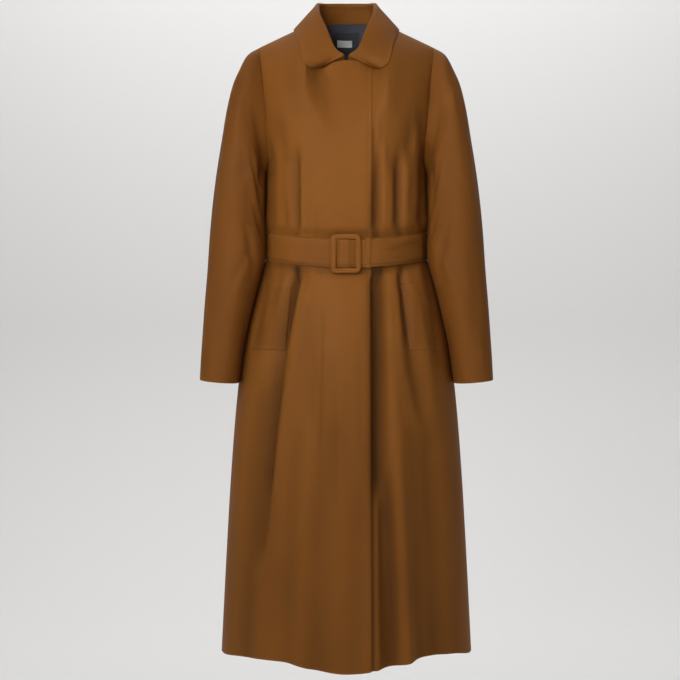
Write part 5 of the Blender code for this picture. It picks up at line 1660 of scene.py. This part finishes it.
buckle = new_piece("coat_buckle", vertices, faces, trim_cloth, uv,
                   {"fold": np.zeros(len(vertices)),
                    "wear": np.full(len(vertices), BUCKLE_WEAR)})
print("buckle:", len(buckle.data.polygons), "faces")

# %% [markdown]
# ## Stitches
# Topstitching runs beside every finished edge. A node group turns a line of points into
# stitches: it measures the line out in equal steps, puts a small grain of thread on each,
# turned along the line, and joins them into a mesh. Each line gives the way out of the
# cloth as an attribute, so the grains lie flat on it.
# %% Stitch node group
STITCH_PITCH = 0.0034
STITCH_THICKNESS = 0.0006
STITCH_SHARE = 0.76            # of the pitch that shows as thread


def stitch_group():
    """The node group, and the identifiers of its inputs by name."""
    tree = bpy.data.node_groups.new("stitches along a line", "GeometryNodeTree")
    face = tree.interface
    face.new_socket("Line", in_out="INPUT", socket_type="NodeSocketGeometry")
    sockets = {}
    for word, kind, value in (("Pitch", "NodeSocketFloat", STITCH_PITCH),
                              ("Length", "NodeSocketFloat", STITCH_PITCH * STITCH_SHARE),
                              ("Thickness", "NodeSocketFloat", STITCH_THICKNESS),
                              ("Thread", "NodeSocketMaterial", None)):
        made = face.new_socket(word, in_out="INPUT", socket_type=kind)
        if value is not None:
            made.default_value = value
        sockets[word] = made.identifier
    face.new_socket("Stitches", in_out="OUTPUT", socket_type="NodeSocketGeometry")
    given = add_node(tree, "NodeGroupInput")
    result = add_node(tree, "NodeGroupOutput")
    curve = add_node(tree, "GeometryNodeMeshToCurve")
    spaced = add_node(tree, "GeometryNodeResampleCurve", mode="LENGTH")
    tangent = add_node(tree, "GeometryNodeInputTangent")
    out_way = add_node(tree, "GeometryNodeInputNamedAttribute", data_type="FLOAT_VECTOR")
    out_way.inputs["Name"].default_value = "out"
    along = add_node(tree, "FunctionNodeAlignRotationToVector", axis="X")
    upright = add_node(tree, "FunctionNodeAlignRotationToVector", axis="Z", pivot_axis="X")
    grain = add_node(tree, "GeometryNodeMeshIcoSphere")
    set_inputs(grain, {"Radius": 0.5, "Subdivisions": 1})
    size = add_node(tree, "ShaderNodeCombineXYZ")
    placed = add_node(tree, "GeometryNodeInstanceOnPoints")
    joined = add_node(tree, "GeometryNodeRealizeInstances")
    shaded = add_node(tree, "GeometryNodeSetShadeSmooth")
    painted = add_node(tree, "GeometryNodeSetMaterial")
    for source, way_out, target, way_in in (
            (given, "Line", curve, "Mesh"),
            (curve, "Curve", spaced, "Curve"),
            (given, "Pitch", spaced, "Length"),
            (tangent, "Tangent", along, "Vector"),
            (along, "Rotation", upright, "Rotation"),
            (out_way, "Attribute", upright, "Vector"),
            (given, "Length", size, "X"),
            (given, "Thickness", size, "Y"),
            (given, "Thickness", size, "Z"),
            (spaced, "Curve", placed, "Points"),
            (grain, "Mesh", placed, "Instance"),
            (upright, "Rotation", placed, "Rotation"),
            (size, "Vector", placed, "Scale"),
            (placed, "Instances", joined, "Geometry"),
            (joined, "Geometry", shaded, "Geometry"),
            (shaded, "Geometry", painted, "Geometry"),
            (given, "Thread", painted, "Material"),
            (painted, "Geometry", result, "Stitches")):
        tree.links.new(source.outputs[way_out], target.inputs[way_in])
    return tree, sockets


stitcher, stitch_sockets = stitch_group()


# %% Thread
def thread_material(name, colour):
    material, _, shader = new_material(name, roughness=0.55, sheen=0.15,
                                       sheen_roughness=0.4, sheen_colour=CAMEL_SHEEN)
    set_inputs(shader, {"Base Color": (*colour, 1.0)})
    return material


thread = thread_material("topstitch thread", (0.215, 0.080, 0.0135))
dark_thread = thread_material("tape thread", (0.050, 0.052, 0.060))


# %% Stitching
THREAD_LIFT = 0.00005          # the middle of a stitch lies this high above the cloth
TAPE_STITCH_PITCH = 0.0013
TAPE_STITCH_THICKNESS = 0.0003
LABEL_CROSS, TAB_CROSS = 0.0016, 0.0010          # half lengths of the corner stitches


def plain_mesh(made):
    """Replace an object's modifiers by the mesh that they make."""
    scene_graph = bpy.context.evaluated_depsgraph_get()
    mesh = bpy.data.meshes.new_from_object(made.evaluated_get(scene_graph))
    made.modifiers.clear()
    made.data = mesh
    return made


def stitches(name, lines, material, pitch, thickness):
    """Stitches along lines; each line is its points and the way out of the cloth there."""
    vertices, edges, outs = [], [], []
    for points, way_out in lines:
        start = len(vertices)
        vertices += [tuple(p) for p in points + THREAD_LIFT * way_out]
        outs.append(way_out)
        edges += [(start + k, start + k + 1) for k in range(len(points) - 1)]
    mesh = bpy.data.meshes.new(name)
    mesh.from_pydata(vertices, edges, [])
    layer = mesh.attributes.new("out", "FLOAT_VECTOR", "POINT")
    layer.data.foreach_set("vector", np.concatenate(outs).astype(np.float32).ravel())
    made = put_in_scene(name, mesh)
    modifier = made.modifiers.new("stitches", "NODES")
    modifier.node_group = stitcher
    for word, value in (("Pitch", pitch), ("Length", pitch * STITCH_SHARE),
                        ("Thickness", thickness), ("Thread", material)):
        modifier[stitch_sockets[word]] = value
    return plain_mesh(made)


# %% Stitch lines
def closed_line(*line):
    """A line's points and ways out, with the first one again at the end."""
    return tuple(np.concatenate([part, part[:1]]) for part in line)


def grid_lines(points, normals):
    """Three sides of a grid: down one side, along the bottom and up the other."""
    return tuple(np.concatenate([grid[1:-2, 1], grid[-2, 1:-1], grid[1:-2, -2][::-1]])
                 for grid in (points, normals))


def corner_crosses(points, normals, reach):
    """Two short crossing lines in each corner of a tape."""
    lines = []
    for row, column in ((1, 1), (1, -2), (-2, 1), (-2, -2)):
        spot, way_out = points[row, column], normals[row, column]
        for lean in (-1.0, 1.0):
            step = np.array([reach, 0.0, lean * reach])
            lines.append((np.stack([spot - step, spot, spot + step]), np.tile(way_out, (3, 1))))
    return lines


# %% All stitches
hem_out = front[1][HEM_STITCH_ROW]
leaf_line = leaf_edge + unit(fall[-2] - leaf_edge) * STITCH_IN
leaf_out = fall_normals[-1]
collar_face = fall + COLLAR_WALL / 2 * fall_normals
shown = np.flatnonzero(clear)
shown = slice(shown[0], shown[-1] + 1)
coat_lines = [
    (right_hem_line, hem_out[:len(right_hem_line)]),
    (left_hem_line, hem_out[-len(left_hem_line):]),
    placket_line,
    *back_hem_lines,
    ((leaf_line + COLLAR_WALL / 2 * leaf_out)[2:-2], leaf_out[2:-2]),
    closed_line(sleeve_points[-2], sleeve_normals[-2]),
    closed_line(sleeve_points[-2] * flip, sleeve_normals[-2] * flip),
    *[(collar_face[12:-2, column], fall_normals[12:-2, column]) for column in (2, -3)],
    *[grid_lines(*faces) for faces in welt_faces],
    *[(belt_outer[row][shown], facing[shown]) for row in (1, -2)],
]
coat_stitches = stitches("coat_stitches", coat_lines, thread, STITCH_PITCH, STITCH_THICKNESS)
tape_lines = corner_crosses(*label_face, LABEL_CROSS) + corner_crosses(*tab_face, TAB_CROSS)
tape_stitches = stitches("coat_tape_stitches", tape_lines, dark_thread,
                         TAPE_STITCH_PITCH, TAPE_STITCH_THICKNESS)
print("stitches:", len(coat_stitches.data.polygons), "and",
      len(tape_stitches.data.polygons), "faces")

# %% [markdown]
# ## Each piece on the frame
# Every piece rides the one rigid body and takes the place of its construction node, which
# is hidden. The table also lists each piece's material slot, how it is held, what it was cut
# from (width and length of the flat cloth, and its area where the cut is not a rectangle) and
# what it rests on; of these, only the cut's width and length are printed here.
# %% Cuts
BODY, TRIM = "gabardine", "gabardine_trim"
# piece, construction node, slot, how it is held, flat width and length, area, rests on
PIECES = (
    (front_right, "front_right", BODY, "hung", (0.400, 1.260), 0.385, []),
    (front_left, "front_left", BODY, "hung", (0.400, 1.260), 0.395, []),
    (backs[0], "back_right", BODY, "hung", (0.350, 1.262), 0.325, []),
    (backs[1], "back_left", BODY, "hung", (0.350, 1.262), 0.325, []),
    (sleeve_right, "sleeve_right", BODY, "hung", (0.420, 0.660), 0.195, []),
    (sleeve_left, "sleeve_left", BODY, "hung", (0.420, 0.660), 0.195, []),
    (collar_stand, "collar_stand", BODY, "folded", (0.500, 0.040), 0.0122, []),
    (collar_fall, "collar_fall", BODY, "folded", (0.650, 0.095), 0.042, ["collar_stand"]),
    (neck_lining, "neck_lining", "lining", "laid", (0.230, 0.236), 0.035, ["back_left"]),
    (neck_label, "neck_label", "label_tape", "laid", (0.050, 0.044), None, ["neck_lining"]),
    (size_tab, "size_tab", "tab_tape", "laid", (0.029, 0.013), None, ["neck_label"]),
    (welts[0], "pocket_welt_right", BODY, "laid", (0.077, 0.127), None, ["front_right"]),
    (welts[1], "pocket_welt_left", BODY, "laid", (0.079, 0.127), None, ["front_left"]),
    (belt, "belt", TRIM, "laid", (0.052, 1.076), None, ["front_right", "back_left"]),
    (keeper, "belt_keeper", TRIM, "folded", (0.010, 0.118), None, ["belt"]),
)
for made, node, slot_name, held, flat_size, flat_area, under in PIECES:
    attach(made, "root")
    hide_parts(node)
    print(node, "is cut from", flat_size, "m, and has", len(made.data.polygons), "faces")
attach(buckle, "root")
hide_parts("buckle")
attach(coat_stitches, "root")
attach(tape_stitches, "root")

# %% [markdown]
# ## Floor, wall and light
# A pale floor curves up into a pale wall, so no line crosses the picture. The wall stands far
# back, so that the coat can also be looked at from behind. The key light is to the left of
# the camera and above it. Two lights near the camera lift the chest and the skirt, a weak
# one at the right keeps the shaded side readable, and the last one lights the wall alone.
# %% Stage
FLOOR = -1.95
WALL_Y = 5.2
CURVE = 1.2
REACH = 9.0
FLOOR_START = -7.0
WALL_TOP = 4.5
CURVE_STEPS = 12
CHEST_SPREAD = 22              # degrees
WARM, COOL, WHITE = (1.0, 0.985, 0.96), (0.96, 0.98, 1.0), (1.0, 1.0, 1.0)


def backdrop():
    """Floor and wall in one sheet of paper, with a curve between them."""
    profile = [(FLOOR_START, FLOOR)]
    for step in range(CURVE_STEPS + 1):
        angle = math.pi / 2 * step / CURVE_STEPS
        profile.append((WALL_Y - CURVE + CURVE * math.sin(angle),
                        FLOOR + CURVE - CURVE * math.cos(angle)))
    profile.append((WALL_Y, WALL_TOP))
    vertices = [(side * REACH, y, z) for y, z in profile for side in (-1, 1)]
    faces = [(2 * k, 2 * k + 1, 2 * k + 3, 2 * k + 2) for k in range(len(profile) - 1)]
    mesh = bpy.data.meshes.new("studio backdrop")
    mesh.from_pydata(vertices, [], faces)
    mesh.shade_smooth()
    paper = bpy.data.materials.new("backdrop paper")
    paper.use_nodes = True
    set_inputs(paper.node_tree.nodes["Principled BSDF"],
               {"Base Color": (0.80, 0.80, 0.80, 1.0), "Roughness": 0.9})
    mesh.materials.append(paper)
    return put_in_scene("studio backdrop", mesh)


def soft_light(name, place, aim, size, watts, warmth):
    """A rectangular lamp that points at a place."""
    lamp = bpy.data.lights.new(name, "AREA")
    lamp.shape = "RECTANGLE"
    lamp.size, lamp.size_y = size
    lamp.energy = watts
    lamp.color = warmth
    made = put_in_scene(name, lamp)
    made.location = place
    made.rotation_euler = (Vector(aim) - Vector(place)).to_track_quat("-Z", "Y").to_euler()
    return made


# %% Lights
# name, place, aim, size, watts, colour
LIGHTS = (
    ("key light", (-1.9, -2.7, 1.1), (0.0, 0.0, -0.45), (1.0, 1.6), 35.0, WARM),
    ("chest light", (-0.7, -2.6, 0.5), (-0.01, -0.1, -0.26), (0.5, 0.7), 0.60, WARM),
    ("front light", (-0.5, -3.2, 0.3), (0.0, -0.1, -0.6), (0.9, 1.4), 14.0, WARM),
    ("fill light", (2.8, -2.4, 0.0), (0.0, 0.0, -0.8), (1.6, 2.0), 7.0, COOL),
    ("wall light", (0.0, 2.6, 3.6), (0.0, WALL_Y, -0.6), (4.0, 1.4), 190.0, WHITE),
)
paper_sheet = backdrop()
lamps = {row[0]: soft_light(*row) for row in LIGHTS}
lamps["chest light"].data.spread = math.radians(CHEST_SPREAD)
world = bpy.data.worlds.new("studio air")
world.use_nodes = True
set_inputs(world.node_tree.nodes["Background"],
           {"Color": (0.84, 0.80, 0.75, 1.0), "Strength": 0.24})
bpy.context.scene.world = world
bpy.context.scene.view_settings.view_transform = "Standard"

# %% [markdown]
# ## Last update
# The dressed coat should fill the construction's own box, no more and no less. This cell
# only brings the scene up to date.
# %% Bring the scene up to date
bpy.context.view_layer.update()
